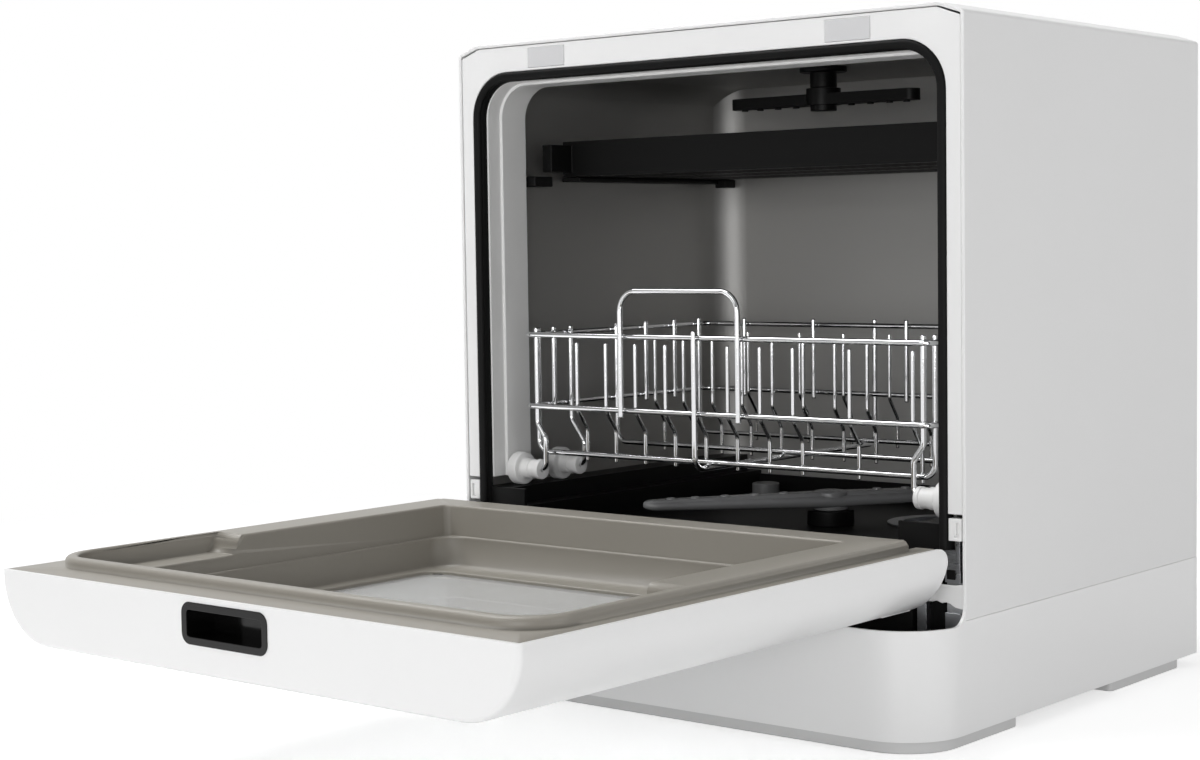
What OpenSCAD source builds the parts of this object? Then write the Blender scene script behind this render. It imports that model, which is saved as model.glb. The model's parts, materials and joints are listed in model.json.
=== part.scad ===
/* [Cabinet] */
// Width of the cabinet across its side panels
cabinet_width = 420; // [400:1:460]
// Depth of the cabinet from the bezel to the rear edge
cabinet_depth = 327; // [324:1:350]
// Height of the cabinet above the worktop
cabinet_height = 456; // [450:1:480]
// Thickness of the wrap-round casing
casing_wall = 2.5; // [1.5:0.25:3]
// Width of the long chamfer along each top edge
chamfer_width = 17.5; // [8:0.5:24]
// Height of that chamfer
chamfer_height = 6; // [3:0.5:10]
// Height of the seam between the casing and the base
seam_height = 78.5; // [77:0.5:82]

/* [Base] */
// How far the apron stands out in front of the bezel
apron_reach = 47.5; // [47.5:0.5:56]
// Thickness of the base moulding
base_wall = 2; // [1.5:0.25:2.5]
// Height of the apron's top edge
apron_top = 76; // [72:0.5:76.5]
// Radius of the apron's upright corners
apron_corner = 42; // [30:1:60]
// Height of the feet under the base
foot_height = 8; // [5:0.5:9]
// Length of the skirt foot behind the bezel plane
front_foot_length = 68; // [40:1:90]
// Front end of each rear foot
rear_foot_start = 200; // [150:1:230]
// Length of each rear foot
rear_foot_length = 105; // [60:1:115]

/* [Tub] */
// Width of the bezel beside its opening
mouth_margin = 13; // [10:0.5:13]
// Height of the bezel above its opening
mouth_top_margin = 20.7; // [18:0.1:21]
// Radius of the opening's top corners
mouth_corner = 32; // [26:1:33]
// Distance from the cabinet's side to the inside of the tub
tub_side_gap = 14; // [10:0.5:14]
// Distance from the tub's rear wall to the cabinet's rear edge
tub_back_gap = 29; // [28:0.5:30]
// Distance from the tub's ceiling to the cabinet's top
tub_top_gap = 19; // [15:0.5:19]
// Thickness of the tub's sheet
tub_sheet = 1.2; // [0.8:0.1:1.8]
// Radius of the tub's long top edges and rear uprights
tub_corner = 26; // [16:1:30]
// Depth of the gasket's seat behind the bezel plane
gasket_seat = 8; // [7:0.5:9]
// Width of the gasket seen from the front
gasket_width = 6.3; // [5:0.1:7]
// Depth at which the plastic tub frame ends
frame_depth = 47; // [40:1:52]
// Height of the track that the rack's rollers run on
track_height = 136.2; // [135:0.1:138]
// Width of each roller track
track_width = 24; // [22:1:28]
// Height of the basin's floor
basin_floor = 106.5; // [104.5:0.5:108]

/* [Door] */
// Height of the closed door's lower edge
door_low = 69; // [68.5:0.5:69]
// How far the door's sides stand inside the cabinet's sides
door_side_gap = 3; // [3:0.5:6]
// Thickness of the door without its raised rim
door_thickness = 43; // [41:0.5:43]
// Height of the open door's inner face
door_face = 125.5; // [125:0.5:127]
// Distance of the open door's hinge end from the bezel plane
door_end_gap = 15; // [15:0.25:16]
// Radius of the door's long outer edges
door_edge_radius = 40; // [30:1:40]
// Wall of the door's outer panel
door_wall = 2.5; // [2:0.25:3]
// Gap between the closed door's inner face and the bezel plane
door_seal_gap = 2; // [2:0.25:2.5]
// Height of the liner's raised rim over the door's inner face
rim_rise = 6.5; // [5:0.25:6.5]
// Distance from the window opening in the liner to the door's side
window_side_margin = 60; // [57:1:87]
// Distance from the window opening to the door's free end
window_end_margin = 66; // [62:1:120]
// Width of the handle recess
handle_width = 68; // [50:1:90]
// Height of the handle recess
handle_height = 21.5; // [16:0.5:23]
// Sideways offset of the handle recess
handle_offset = -6; // [-20:1:20]
// Radius of the hinge pins
hinge_pin_radius = 2.5; // [2:0.1:2.8]

/* [Rack] */
// Distance from the rack's rails to the tub's side
rack_side_gap = 24; // [22:1:30]
// Distance of the rack's front rail behind the bezel plane
rack_front = 24; // [18:1:28]
// Distance from the rack to the tub's rear wall
rack_rear_gap = 56; // [49:1:94]
// Height of the rack's top rail
top_rail = 247; // [235:1:260]
// Height of the rack's middle rail
middle_rail = 195; // [188:1:205]
// Height of the wires under the rack
rack_bottom = 161; // [159:1:166]
// Radius of the rails and cross wires
rail_radius = 2; // [1.6:0.1:2.4]
// Radius of the plate tines
tine_radius = 1.4; // [1.1:0.1:1.6]
// Radius of the white rollers
roller_radius = 12; // [10:0.5:13]
// Width of the wire handle
rack_handle_width = 102; // [80:1:130]
// Height of the top of the wire handle
rack_handle_top = 279; // [265:1:300]
// Sideways offset of the wire handle
rack_handle_offset = -27; // [-40:1:0]

/* [Spray arms] */
// Sideways place of the lower arm's hub
lower_arm_x = 8; // [0:1:12]
// Distance from the lower arm's hub to the tub's rear wall
lower_arm_rear = 145; // [143:1:147]
// Gap between the turning lower arm's tip and the step beside the track
lower_arm_gap = 10; // [6:1:30]
// Angle at which the lower arm rests
lower_arm_angle = 53; // [0:1:90]
// Distance from the upper arm's hub to the tub's rear wall
upper_arm_rear = 138; // [128:1:148]
// Reach of the upper arm from its hub
upper_arm_reach = 80; // [60:1:90]
// Distance from the tub's ceiling to the middle of the upper arm
upper_arm_drop = 23.5; // [22:0.5:26]

/* [Upper tray] */
// Distance from the utensil tray to the tub's side
tray_side_gap = 11; // [10:1:21]
// Depth of the tray's front behind the bezel plane
tray_front = 85; // [75:1:100]
// Distance from the tray to the tub's rear wall
tray_rear_gap = 16; // [8:1:60]
// Distance from the tub's ceiling to the tray's underside
tray_drop = 74.2; // [69:0.1:80]
// Height of the tray's front above its underside
tray_front_height = 26; // [18:1:30]

/* [Hidden] */
$fn = 48;

// Shared sizes
half_width = cabinet_width / 2;
mouth_half_width = half_width - mouth_margin;
mouth_top = cabinet_height - mouth_top_margin;
tub_half_width = half_width - tub_side_gap;
tub_back = cabinet_depth - tub_back_gap;
tub_ceiling = cabinet_height - tub_top_gap;
track_inner = tub_half_width - track_width;
step_inner = track_inner - 14;
door_length = cabinet_height - door_low;
door_half_width = half_width - door_side_gap;
window_half_width = door_half_width - window_side_margin;
rack_half_width = tub_half_width - rack_side_gap;
rack_depth = tub_back - rack_rear_gap - rack_front;
lower_arm_y = tub_back - lower_arm_rear;
lower_arm_reach = step_inner - lower_arm_x - lower_arm_gap;
upper_arm_y = tub_back - upper_arm_rear;
upper_arm_height = tub_ceiling - upper_arm_drop;
tray_half_width = tub_half_width - tray_side_gap;
tray_depth = tub_back - tray_rear_gap - tray_front;
tray_bottom = tub_ceiling - tray_drop;
rear_reach = 18;
handle_lip = 0.6;
front_end = -door_end_gap - door_length;
// The origin is midway between the open door's free end and the drain spigot's end
frame_shift = -(front_end - handle_lip + cabinet_depth + rear_reach) / 2;
running_gap = 0.05;
seat_gap = 0.3;
inner_half = half_width - casing_wall;

// The closed door stands door_seal_gap in front of the bezel, flush with the cabinet's top
pivot_sum = cabinet_height + front_end;
pivot_difference = -door_seal_gap - door_face;
pivot_y = (pivot_sum + pivot_difference) / 2;
pivot_z = (pivot_sum - pivot_difference) / 2;

module rounded_rect(x0, y0, x1, y1, r) {
    translate([x0 + r, y0]) square([x1 - x0 - 2 * r, y1 - y0]);
    translate([x0, y0 + r]) square([x1 - x0, y1 - y0 - 2 * r]);
    for (x = [x0 + r, x1 - r], y = [y0 + r, y1 - r]) translate([x, y]) circle(r);
}

// A rectangle with round top corners and square bottom ones
module arch(x0, y0, x1, y1, r) {
    translate([x0, y0]) square([x1 - x0, y1 - y0 - r]);
    translate([x0 + r, y0]) square([x1 - x0 - 2 * r, y1 - y0]);
    for (x = [x0 + r, x1 - r]) translate([x, y1 - r]) circle(r);
}

// Extrudes an x-z outline from y0 to y1
module along_y(y0, y1) {
    translate([0, y1, 0]) rotate([90, 0, 0]) linear_extrude(y1 - y0) children();
}

// Extrudes a y-z outline from x0 to x1
module along_x(x0, x1) {
    translate([x0, 0, 0]) rotate([90, 0, 90]) linear_extrude(x1 - x0) children();
}

// Extrudes an x-y outline from z0 to z1
module along_z(z0, z1) {
    translate([0, 0, z0]) linear_extrude(z1 - z0) children();
}

module block(x0, x1, y0, y1, z0, z1) {
    translate([x0, y0, z0]) cube([x1 - x0, y1 - y0, z1 - z0]);
}

module both_sides() {
    children();
    mirror([1, 0, 0]) children();
}

module rod_x(x0, x1, y, z, r) {
    translate([x0, y, z]) rotate([0, 90, 0]) cylinder(r = r, h = x1 - x0);
}

module rod_y(x, y0, y1, z, r) {
    translate([x, y1, z]) rotate([90, 0, 0]) cylinder(r = r, h = y1 - y0);
}

module rod_z(x, y, z0, z1, r) {
    translate([x, y, z0]) cylinder(r = r, h = z1 - z0);
}

// Bent wire through points in its own x-y plane
function unit(v) = v / norm(v);
function side_of(v) = [-v.y, v.x];
function turn_angle(a, b, c) = acos(min(1, unit(b - a) * unit(c - b)));
function bend_trim(a, b, c, bend) = bend * tan(turn_angle(a, b, c) / 2);

module wire_run(a, b, r) {
    translate([a.x, a.y, 0]) rotate([0, 90, atan2(b.y - a.y, b.x - a.x)]) cylinder(r = r, h = norm(b - a));
}

module wire_bend(a, b, c, r, bend) {
    along = unit(b - a);
    left = side_of(along);
    swing = turn_angle(a, b, c);
    hand = (left * (c - b) > 0) ? 1 : -1;
    centre = b - along * bend_trim(a, b, c, bend) + left * hand * bend;
    start = atan2(-hand * left.y, -hand * left.x) - (hand > 0 ? 0 : swing);
    translate([centre.x, centre.y, 0]) rotate([0, 0, start])
        rotate_extrude(angle = swing) translate([bend, 0]) circle(r = r, $fn = 24);
}

module bent_wire(points, r, bend) {
    last = len(points) - 1;
    for (i = [0 : last - 1]) {
        a = points[i];
        b = points[i + 1];
        trim_a = i == 0 ? 0 : bend_trim(points[i - 1], a, b, bend);
        trim_b = i == last - 1 ? 0 : bend_trim(a, b, points[i + 2], bend);
        if (norm(b - a) - trim_a - trim_b > 0.01)
            wire_run(a + unit(b - a) * trim_a, b - unit(b - a) * trim_b, r);
    }
    for (i = [1 : last - 1]) wire_bend(points[i - 1], points[i], points[i + 1], r, bend);
}

// A closed rectangle of wire lying flat, with round corners
module wire_ring(x0, y0, x1, y1, z, r, bend) {
    for (y = [y0, y1]) rod_x(x0 + bend, x1 - bend, y, z, r);
    for (x = [x0, x1]) rod_y(x, y0 + bend, y1 - bend, z, r);
    corners = [[x0 + bend, y0 + bend, 180], [x1 - bend, y0 + bend, 270],
               [x1 - bend, y1 - bend, 0], [x0 + bend, y1 - bend, 90]];
    for (c = corners) translate([c.x, c.y, z]) rotate([0, 0, c.z])
        rotate_extrude(angle = 90) translate([bend, 0]) circle(r = r, $fn = 24);
}

// ---------- cabinet ----------

module casing_outline(inset) {
    w = half_width - inset;
    h = cabinet_height - inset;
    cut = chamfer_width - inset * 0.3;
    polygon([[-w, seam_height], [-w, h - chamfer_height], [-w + cut, h], [w - cut, h],
             [w, h - chamfer_height], [w, seam_height]]);
}

module outer_casing() {
    color([0.95, 0.95, 0.95]) along_y(0, cabinet_depth) difference() {
        casing_outline(0);
        casing_outline(casing_wall);
        translate([-inner_half, seam_height - 1]) square([2 * inner_half, 2]);
    }
}

panel_back = cabinet_depth - 1.5;
panel_front = panel_back - 2;
screw_xs = [15 - half_width, 0, half_width - 15];
screw_zs = [seam_height + 17.5, (cabinet_height + 84) / 2, cabinet_height - 16];
screw_places = [for (x = screw_xs, z = screw_zs) if (x != 0 || z != screw_zs[1]) [x, z]];
fan_x = 100 - half_width;
fan_z = cabinet_height - 117;
screw_radius = 1.75;

module rear_panel() {
    vent_rows = 7;
    color([0.93, 0.93, 0.93]) difference() {
        along_y(panel_front, panel_back) intersection() {
            casing_outline(casing_wall);
            translate([-half_width, seam_height]) square([cabinet_width, cabinet_height]);
        }
        for (p = screw_places) rod_y(p.x, panel_front - 1, panel_back + 1, p.y, screw_radius + 0.1);
        for (i = [0 : vent_rows - 1]) along_y(panel_front - 1, panel_back + 1)
            rounded_rect(fan_x - 40, fan_z - 39 + i * 11, fan_x + 40, fan_z - 35 + i * 11, 1.9);
    }
}

bezel_front = 0.6;
bezel_back = 3.1;
bezel_foot = 143.5;
pad_x = 126;
pad_half = 17;
pad_low = cabinet_height - 19;
pad_high = cabinet_height - 5;

module front_bezel() {
    color([0.96, 0.96, 0.96]) along_y(bezel_front, bezel_back) difference() {
        casing_outline(casing_wall + 0.4);
        arch(-mouth_half_width, 0, mouth_half_width, mouth_top, mouth_corner);
        translate([-half_width, 0]) square([cabinet_width, bezel_foot]);
        for (s = [-1, 1]) translate([s * pad_x - pad_half, pad_low]) square([2 * pad_half, pad_high - pad_low]);
    }
}

module catch_pads() {
    color([0.84, 0.84, 0.85]) both_sides() block(pad_x - pad_half, pad_x + pad_half, bezel_front - 0.2,
                                                 bezel_back, pad_low, pad_high);
}

apron_front = -apron_reach;
base_floor = foot_height;

module base_plan(inset) {
    w = half_width - inset;
    y0 = apron_front + inset;
    r = apron_corner - inset;
    translate([-w + r, y0]) square([2 * (w - r), r + 1]);
    translate([-w, y0 + r]) square([2 * w, cabinet_depth - inset - y0 - r]);
    for (s = [-1, 1]) translate([s * (w - r), y0 + r]) circle(r);
}

// The base's side view: the low apron, a hollow curve up to the bezel plane, and the seam behind
module base_side(low) {
    curve = 12;
    difference() {
        union() {
            translate([apron_front - 1, low]) square([apron_reach + 1, apron_top - low]);
            translate([0, low]) square([cabinet_depth, seam_height - low]);
            translate([-curve, low]) square([curve, apron_top + curve - low]);
        }
        translate([-curve, apron_top + curve]) circle(curve);
    }
}

inlet_x = 60 - half_width;
drain_x = 110 - half_width;
gland_x = half_width - 60;
spigot_height = 45;
inlet_radius = 13.2;
drain_radius = 9;
gland_radius = 8;
fitting_gap = 0.2;
back_inner = cabinet_depth - base_wall;
shank_step = 0.8;
fitting_start = cabinet_depth + 1;

module base_housing() {
    color([0.94, 0.94, 0.94]) difference() {
        intersection() {
            along_z(base_floor, seam_height + 20) base_plan(0);
            union() {
                along_x(-half_width, half_width) intersection() {
                    base_side(base_floor);
                    translate([apron_front - 1, 0]) square([cabinet_depth + apron_reach + 2, seam_height]);
                }
                for (s = [-half_width, half_width - base_wall]) along_x(s, s + base_wall) base_side(base_floor);
            }
        }
        along_z(base_floor + base_wall, seam_height + 40) base_plan(base_wall);
        for (s = [[inlet_x, inlet_radius], [drain_x, drain_radius], [gland_x, gland_radius]])
            rod_y(s.x, back_inner - 1, cabinet_depth + 1, spigot_height, s.y + fitting_gap);
        for (x = [-90 : 12 : 90]) block(x - 2, x + 2, 120, 220, base_floor - 1, base_floor + base_wall + 1);
    }
}

// A skirt foot under the apron and a bar foot under each rear corner
module feet() {
    inset = 3.5;
    band = 14;
    color([0.86, 0.86, 0.86]) {
        along_z(0, foot_height) difference() {
            intersection() {
                base_plan(inset);
                translate([-half_width, apron_front])
                    square([cabinet_width, apron_reach + front_foot_length]);
            }
            difference() {
                base_plan(inset + band);
                translate([-half_width, front_foot_length - band]) square([cabinet_width, cabinet_depth]);
            }
        }
        both_sides() along_z(0, foot_height)
            rounded_rect(half_width - inset - 20, rear_foot_start, half_width - inset,
                         rear_foot_start + rear_foot_length, 4);
    }
}

// ---------- tub ----------

basin_rim = 118;
front_sill = 6;

module tub_volume(grow) {
    w = tub_half_width + grow;
    r = tub_corner + grow;
    intersection() {
        along_y(front_sill, tub_back + grow) arch(-w, basin_rim, w, tub_ceiling + grow, r);
        along_z(basin_rim - 1, cabinet_height) {
            translate([-w, -1]) square([2 * w, tub_back + grow - r + 1]);
            translate([-w + r, -1]) square([2 * (w - r), tub_back + grow + 1]);
            for (s = [-1, 1]) translate([s * (w - r), tub_back + grow - r]) circle(r);
        }
    }
}

tub_mouth = gasket_seat + 2.5;
groove_height = 190;

module tub_liner() {
    color([0.5, 0.5, 0.5]) difference() {
        tub_volume(tub_sheet);
        tub_volume(0);
        block(-half_width, half_width, -1, tub_mouth, 0, cabinet_height);
        along_z(groove_height, groove_height + 1.6) difference() {
            w = tub_half_width + 0.6;
            translate([-w, tub_mouth + 40]) square([2 * w, tub_back + 0.6 - tub_mouth - 40 - tub_corner]);
            translate([-tub_half_width + 2, 0]) square([2 * tub_half_width - 4, tub_back]);
        }
        rod_z(0, upper_arm_y, tub_ceiling - 1, tub_ceiling + 5, 7.2);
    }
}

frame_leg_end = 143;
frame_half_front = mouth_half_width - 7.5;
frame_half_rear = frame_half_front - 2;
frame_step = 21;
frame_wall = 3;

module tub_front_frame() {
    front_top = mouth_top - 6.3;
    flange_half = inner_half - 1.5;
    color([0.9, 0.9, 0.9]) difference() {
        union() {
            // flange that the gasket and the bezel seat on
            along_y(gasket_seat, tub_mouth) intersection() {
                casing_outline(casing_wall + 1.5);
                translate([-flange_half, frame_leg_end]) square([2 * flange_half, cabinet_height]);
            }
            along_y(bezel_back, gasket_seat) difference() {
                translate([-flange_half, frame_leg_end]) square([2 * flange_half,
                    mouth_top + 8 - frame_leg_end]);
                arch(-mouth_half_width - 0.5, 0, mouth_half_width + 0.5, mouth_top + 0.5, mouth_corner);
            }
            along_y(gasket_seat, frame_depth)
                arch(-frame_half_front - frame_wall, frame_leg_end, frame_half_front + frame_wall,
                     front_top + frame_wall, mouth_corner - 4);
        }
        along_y(bezel_back - 1, frame_step)
            arch(-frame_half_front, 0, frame_half_front, front_top, mouth_corner - 7);
        along_y(frame_step - 1, frame_depth + 1)
            arch(-frame_half_rear, 0, frame_half_rear, front_top - 2, mouth_corner - 9);
        for (x = [96, 116]) block(x, x + 12, gasket_seat + 6, gasket_seat + 9, front_top - 5, front_top + 12);
    }
}

gasket_end = 121;

module door_gasket() {
    outer = mouth_half_width - 0.15;
    top = mouth_top - 0.15;
    color([0.06, 0.06, 0.06]) along_y(-0.6, gasket_seat) difference() {
        arch(-outer, gasket_end, outer, top, mouth_corner - 0.15);
        arch(-outer + gasket_width, 0, outer - gasket_width, top - gasket_width,
             mouth_corner - 0.15 - gasket_width);
    }
}

basin_wall = 2.5;
sump_x = lower_arm_x + 62;
sump_y = lower_arm_y + 52;
sump_radius = 40;
sump_floor = 84;
sump_outlet_radius = 9;

module sump_basin() {
    outer = tub_half_width + tub_sheet + 0.8;
    inner = tub_half_width - 0.2;
    step_height = 124;
    back = tub_back - 0.3;
    color([0.08, 0.08, 0.08]) difference() {
        union() {
            block(-outer, outer, front_sill, tub_back + tub_sheet + 0.8, basin_rim - basin_wall, basin_rim);
            // body inside the tub, whose rear uprights are round
            intersection() {
                block(-inner, inner, front_sill, back, basin_floor - basin_wall, track_height);
                along_z(0, track_height + 1) {
                    translate([-inner, 0]) square([2 * inner, back - tub_corner]);
                    translate([-inner + tub_corner, 0]) square([2 * (inner - tub_corner), back]);
                    for (s = [-1, 1]) translate([s * (inner - tub_corner),
                        back - tub_corner]) circle(tub_corner);
                }
            }
            rod_z(sump_x, sump_y, sump_floor - basin_wall, basin_floor, sump_radius + basin_wall);
            rod_x(sump_x - sump_radius - 14, sump_x - sump_radius, sump_y, sump_floor + 9.5,
                  sump_outlet_radius);
        }
        block(-step_inner, step_inner, front_sill + basin_wall, tub_back - 2.8, basin_floor, track_height + 1);
        block(-track_inner, track_inner, front_sill + basin_wall, tub_back + 5, step_height, track_height + 1);
        block(-step_inner, step_inner, -1, tub_back + 5, basin_rim + 3, track_height + 1);
        // notches for the gasket's ends and the hinge straps
        both_sides() block(mouth_half_width - 6.6, outer + 1, front_sill - 1, gasket_seat + 1.7,
                           basin_floor - 6, track_height + 1);
        rod_z(sump_x, sump_y, sump_floor, track_height, sump_radius);
        rod_x(sump_x - sump_radius - 20, sump_x, sump_y, sump_floor + 9.5, sump_outlet_radius - 2.5);
        // hollow underside of the two tracks
        both_sides() block(step_inner + basin_wall, outer - 6, front_sill + basin_wall, tub_back - 30,
                           basin_floor - basin_wall - 1, basin_rim - basin_wall + 0.01);
        both_sides() block(track_inner + basin_wall, inner - basin_wall, front_sill + basin_wall, tub_back - 30,
                           basin_rim - basin_wall, track_height - basin_wall);
    }
}

well_back = front_sill;
pocket_x = door_half_width - 39;
pocket_back = 14;
base_top = base_floor + base_wall;

module hinge_well() {
    roof = basin_floor - basin_wall;
    side = half_width - 3.5;
    color([0.05, 0.05, 0.05]) {
        block(-pocket_x, pocket_x, well_back, well_back + 2, base_top, roof);
        block(-pocket_x, pocket_x, well_back + 2, pocket_back + 2, roof - 2, roof);
        both_sides() {
            block(pocket_x - 2, pocket_x, well_back + 2, pocket_back + 2, base_top, roof);
            block(pocket_x, side, pocket_back, pocket_back + 2, base_top, roof);
            block(mouth_half_width + 1.4, side, pocket_back, pocket_back + 2, roof, frame_leg_end - 1);
        }
        along_z(base_top, base_top + 2) intersection() {
            base_plan(base_wall + 0.2);
            translate([-half_width, apron_front]) square([cabinet_width, apron_reach + pocket_back + 2]);
        }
    }
}

module filter_basket() {
    rim = sump_radius - 0.3;
    color([0.35, 0.35, 0.36]) difference() {
        union() {
            rod_z(sump_x, sump_y, basin_floor - 2, basin_floor + 1, rim);
            rod_z(sump_x, sump_y, sump_floor + 4, basin_floor, rim - 9);
        }
        rod_z(sump_x, sump_y, sump_floor + 6, basin_floor + 2, rim - 11);
        for (a = [0 : 24 : 359]) translate([sump_x, sump_y, 0]) rotate([0, 0, a])
            block(rim - 14, rim - 6, -2, 2, sump_floor + 10, basin_floor - 6);
    }
}

// ---------- spray arms ----------

post_radius = 17;
post_top = 117.5;
arm_pin = 4;
lower_arm_low = post_top + seat_gap;
lower_arm_top = 131;
lower_hub_radius = 13;

module lower_arm_post() {
    color([0.12, 0.12, 0.12]) {
        rod_z(lower_arm_x, lower_arm_y, basin_floor, post_top, post_radius);
        rod_z(lower_arm_x, lower_arm_y, post_top, lower_arm_top + 0.6 - seat_gap, arm_pin);
    }
}

// Plan of one blade along +x, widest at the hub and round at the tip
module blade_plan(reach, root, tip) {
    polygon([[0, -root], [reach - tip, -tip], [reach - tip, tip], [0, root]]);
    translate([reach - tip, 0]) circle(tip);
}

module spray_nozzle(x, y, z, r) {
    difference() {
        rod_z(x, y, z - 0.5, z + 1.4, r);
        rod_z(x, y, z - 1, z + 2, r * 0.45);
    }
}

module lower_spray_arm() {
    nozzle_places = [for (from_tip = [104, 82, 60, 38, 20]) lower_arm_reach - from_tip];
    color([0.27, 0.27, 0.28]) translate([lower_arm_x, lower_arm_y, 0]) rotate([0, 0, lower_arm_angle])
        difference() {
            union() {
                for (a = [0, 180]) rotate([0, 0, a]) {
                    along_z(lower_arm_low + 2, lower_arm_top - 2) blade_plan(lower_arm_reach, 15, 10);
                    along_z(lower_arm_top - 2, lower_arm_top) blade_plan(lower_arm_reach - 2.5, 12.5, 7.5);
                    for (x = nozzle_places) spray_nozzle(x, 1.5, lower_arm_top, 3.4);
                }
                rod_z(0, 0, lower_arm_low, lower_arm_top + 1.5, lower_hub_radius);
            }
            rod_z(0, 0, lower_arm_low - 1, lower_arm_top + 0.6, arm_pin + running_gap);
            for (a = [0, 180], x = nozzle_places) rotate([0, 0, a])
                rod_z(x, 1.5, lower_arm_top - 3, lower_arm_top + 2, 1.5);
        }
}

holder_flange = 4;
neck_end = upper_arm_height + 8.3;
upper_hub_top = neck_end - seat_gap;
upper_blade_half = 4;
upper_pin_end = upper_arm_height - 7;

module upper_arm_holder() {
    color([0.06, 0.06, 0.06]) {
        rod_z(0, upper_arm_y, tub_ceiling - holder_flange, tub_ceiling, 17);
        rod_z(0, upper_arm_y, neck_end, tub_ceiling - holder_flange, 9.7);
        rod_z(0, upper_arm_y, upper_pin_end, neck_end, arm_pin);
        rod_z(0, upper_arm_y, tub_ceiling, tub_ceiling + 2.4, 7);
    }
}

module upper_spray_arm() {
    color([0.05, 0.05, 0.05]) translate([0, upper_arm_y, 0]) difference() {
        union() {
            for (a = [0, 180]) rotate([0, 0, a]) {
                along_z(upper_arm_height - upper_blade_half, upper_arm_height + upper_blade_half)
                    blade_plan(upper_arm_reach, 9, 7);
                for (x = [24, 40, 56, 70]) rod_z(x, 0, upper_arm_height - upper_blade_half - 1.2,
                                                 upper_arm_height, 2.4);
            }
            rod_z(0, 0, upper_arm_height - 4, upper_hub_top, 12.5);
            rod_z(0, 0, upper_pin_end - 1, upper_arm_height, 9.5);
        }
        rod_z(0, 0, upper_pin_end - seat_gap, upper_hub_top + 1, arm_pin + running_gap);
    }
}

// ---------- water and air parts behind and under the tub ----------

pipe_y = tub_back + 12;
pipe_radius = 6;
pump_x = sump_x - 20;
pump_y = sump_y + 33;
pump_z = 46;

module feed_pipe() {
    pipe_top = tub_ceiling + tub_sheet + pipe_radius + 1.2;
    color([0.2, 0.2, 0.2]) {
        rotate([90, 0, 90]) bent_wire([[pipe_y, 76], [pipe_y, pipe_top], [upper_arm_y - 8, pipe_top]],
                                      pipe_radius, 11);
        rod_z(0, upper_arm_y, tub_ceiling + 2.4, pipe_top, 6);
    }
}

module circulation_pump() {
    color([0.25, 0.25, 0.26]) {
        rod_y(pump_x, pump_y - 12, pump_y + 12, pump_z, 32);
        rod_z(pump_x, pump_y, pump_z + 20, sump_floor - basin_wall, 9);
        block(pump_x - 10, pump_x + 10, pump_y - 10, pump_y + 10, base_floor + base_wall, pump_z - 28);
        // outlet branch to the rear pipe
        rod_x(-pipe_radius, pump_x, pump_y, pump_z + 22, pipe_radius);
        rod_y(-0.1, pump_y, pipe_y, pump_z + 22, pipe_radius);
        rod_z(-0.1, pipe_y, pump_z + 22, 76, pipe_radius);
    }
}

module pump_motor() {
    color([0.55, 0.56, 0.58]) {
        rod_y(pump_x, pump_y - 88, pump_y - 12, pump_z, 27);
        rod_y(pump_x, pump_y - 94, pump_y - 88, pump_z, 12);
        for (y = [pump_y - 78, pump_y - 33]) block(pump_x - 8, pump_x + 8, y, y + 8,
            base_floor + base_wall, pump_z - 24);
    }
}

drain_end = sump_y + 57;

module drain_pump() {
    color([0.3, 0.3, 0.31]) {
        rod_y(drain_x, sump_y + 12, drain_end, spigot_height, 19);
        rod_y(drain_x, sump_y - 12, sump_y + 12, spigot_height, 24);
        rod_x(drain_x, drain_x + 28, sump_y, spigot_height, sump_outlet_radius);
        block(drain_x - 8, drain_x + 8, sump_y + 5, sump_y + 17, base_floor + base_wall, spigot_height - 20);
    }
}

module water_heater() {
    heater_z = 36;
    color([0.6, 0.6, 0.62]) {
        rod_x(-70, 60, 96, heater_z, 15);
        for (x = [-74, 60]) rod_x(x, x + 4, 96, heater_z, 18);
        for (x = [-50, 36]) block(x, x + 10, 90, 102, base_floor + base_wall, heater_z - 14);
    }
}

module sump_hose() {
    elbow_x = sump_x - sump_radius - 14;
    z = sump_floor + 9.5;
    color([0.1, 0.1, 0.1]) translate([0, sump_y, 0]) rotate([90, 0, 0])
        bent_wire([[elbow_x, z], [drain_x + 50, z], [drain_x + 50, spigot_height], [drain_x + 28,
            spigot_height]],
                  sump_outlet_radius, 12);
}

fan_y0 = tub_back + tub_sheet + 1.2;
fan_y1 = panel_front - 0.4;

module fan_housing() {
    half = 42;
    color([0.22, 0.22, 0.23]) difference() {
        along_y(fan_y0, fan_y1) rounded_rect(fan_x - half, fan_z - half, fan_x + half, fan_z + half, 10);
        rod_y(fan_x, fan_y0 + 2, fan_y1 + 1, fan_z, 36);
    }
    color([0.22, 0.22, 0.23]) rod_y(fan_x, fan_y0 + 2, fan_y1 - 5, fan_z, 3);
}

module fan_wheel() {
    y0 = fan_y0 + 2 + seat_gap;
    y1 = fan_y1 - 2.5;
    color([0.15, 0.15, 0.16]) difference() {
        union() {
            rod_y(fan_x, y0, y1, fan_z, 12);
            rod_y(fan_x, y0, y0 + 1.5, fan_z, 34);
            for (a = [0 : 30 : 359]) translate([fan_x, 0, fan_z]) rotate([0, a, 0])
                block(10, 33, y0 + 1, y1 - 1, -0.9, 0.9);
        }
        rod_y(fan_x, y0 - 1, fan_y1 - 5 + seat_gap, fan_z, 3 + running_gap);
    }
}

module air_break() {
    y0 = tub_back + tub_sheet + 0.6;
    color([0.88, 0.88, 0.86]) {
        along_y(y0, y0 + 16) rounded_rect(24, basin_rim + 32, half_width - 60, cabinet_height - 126, 8);
        rod_z(60, y0 + 8, basin_rim + 2, basin_rim + 32, 6);
    }
}

board_x = 40 - half_width;

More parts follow.
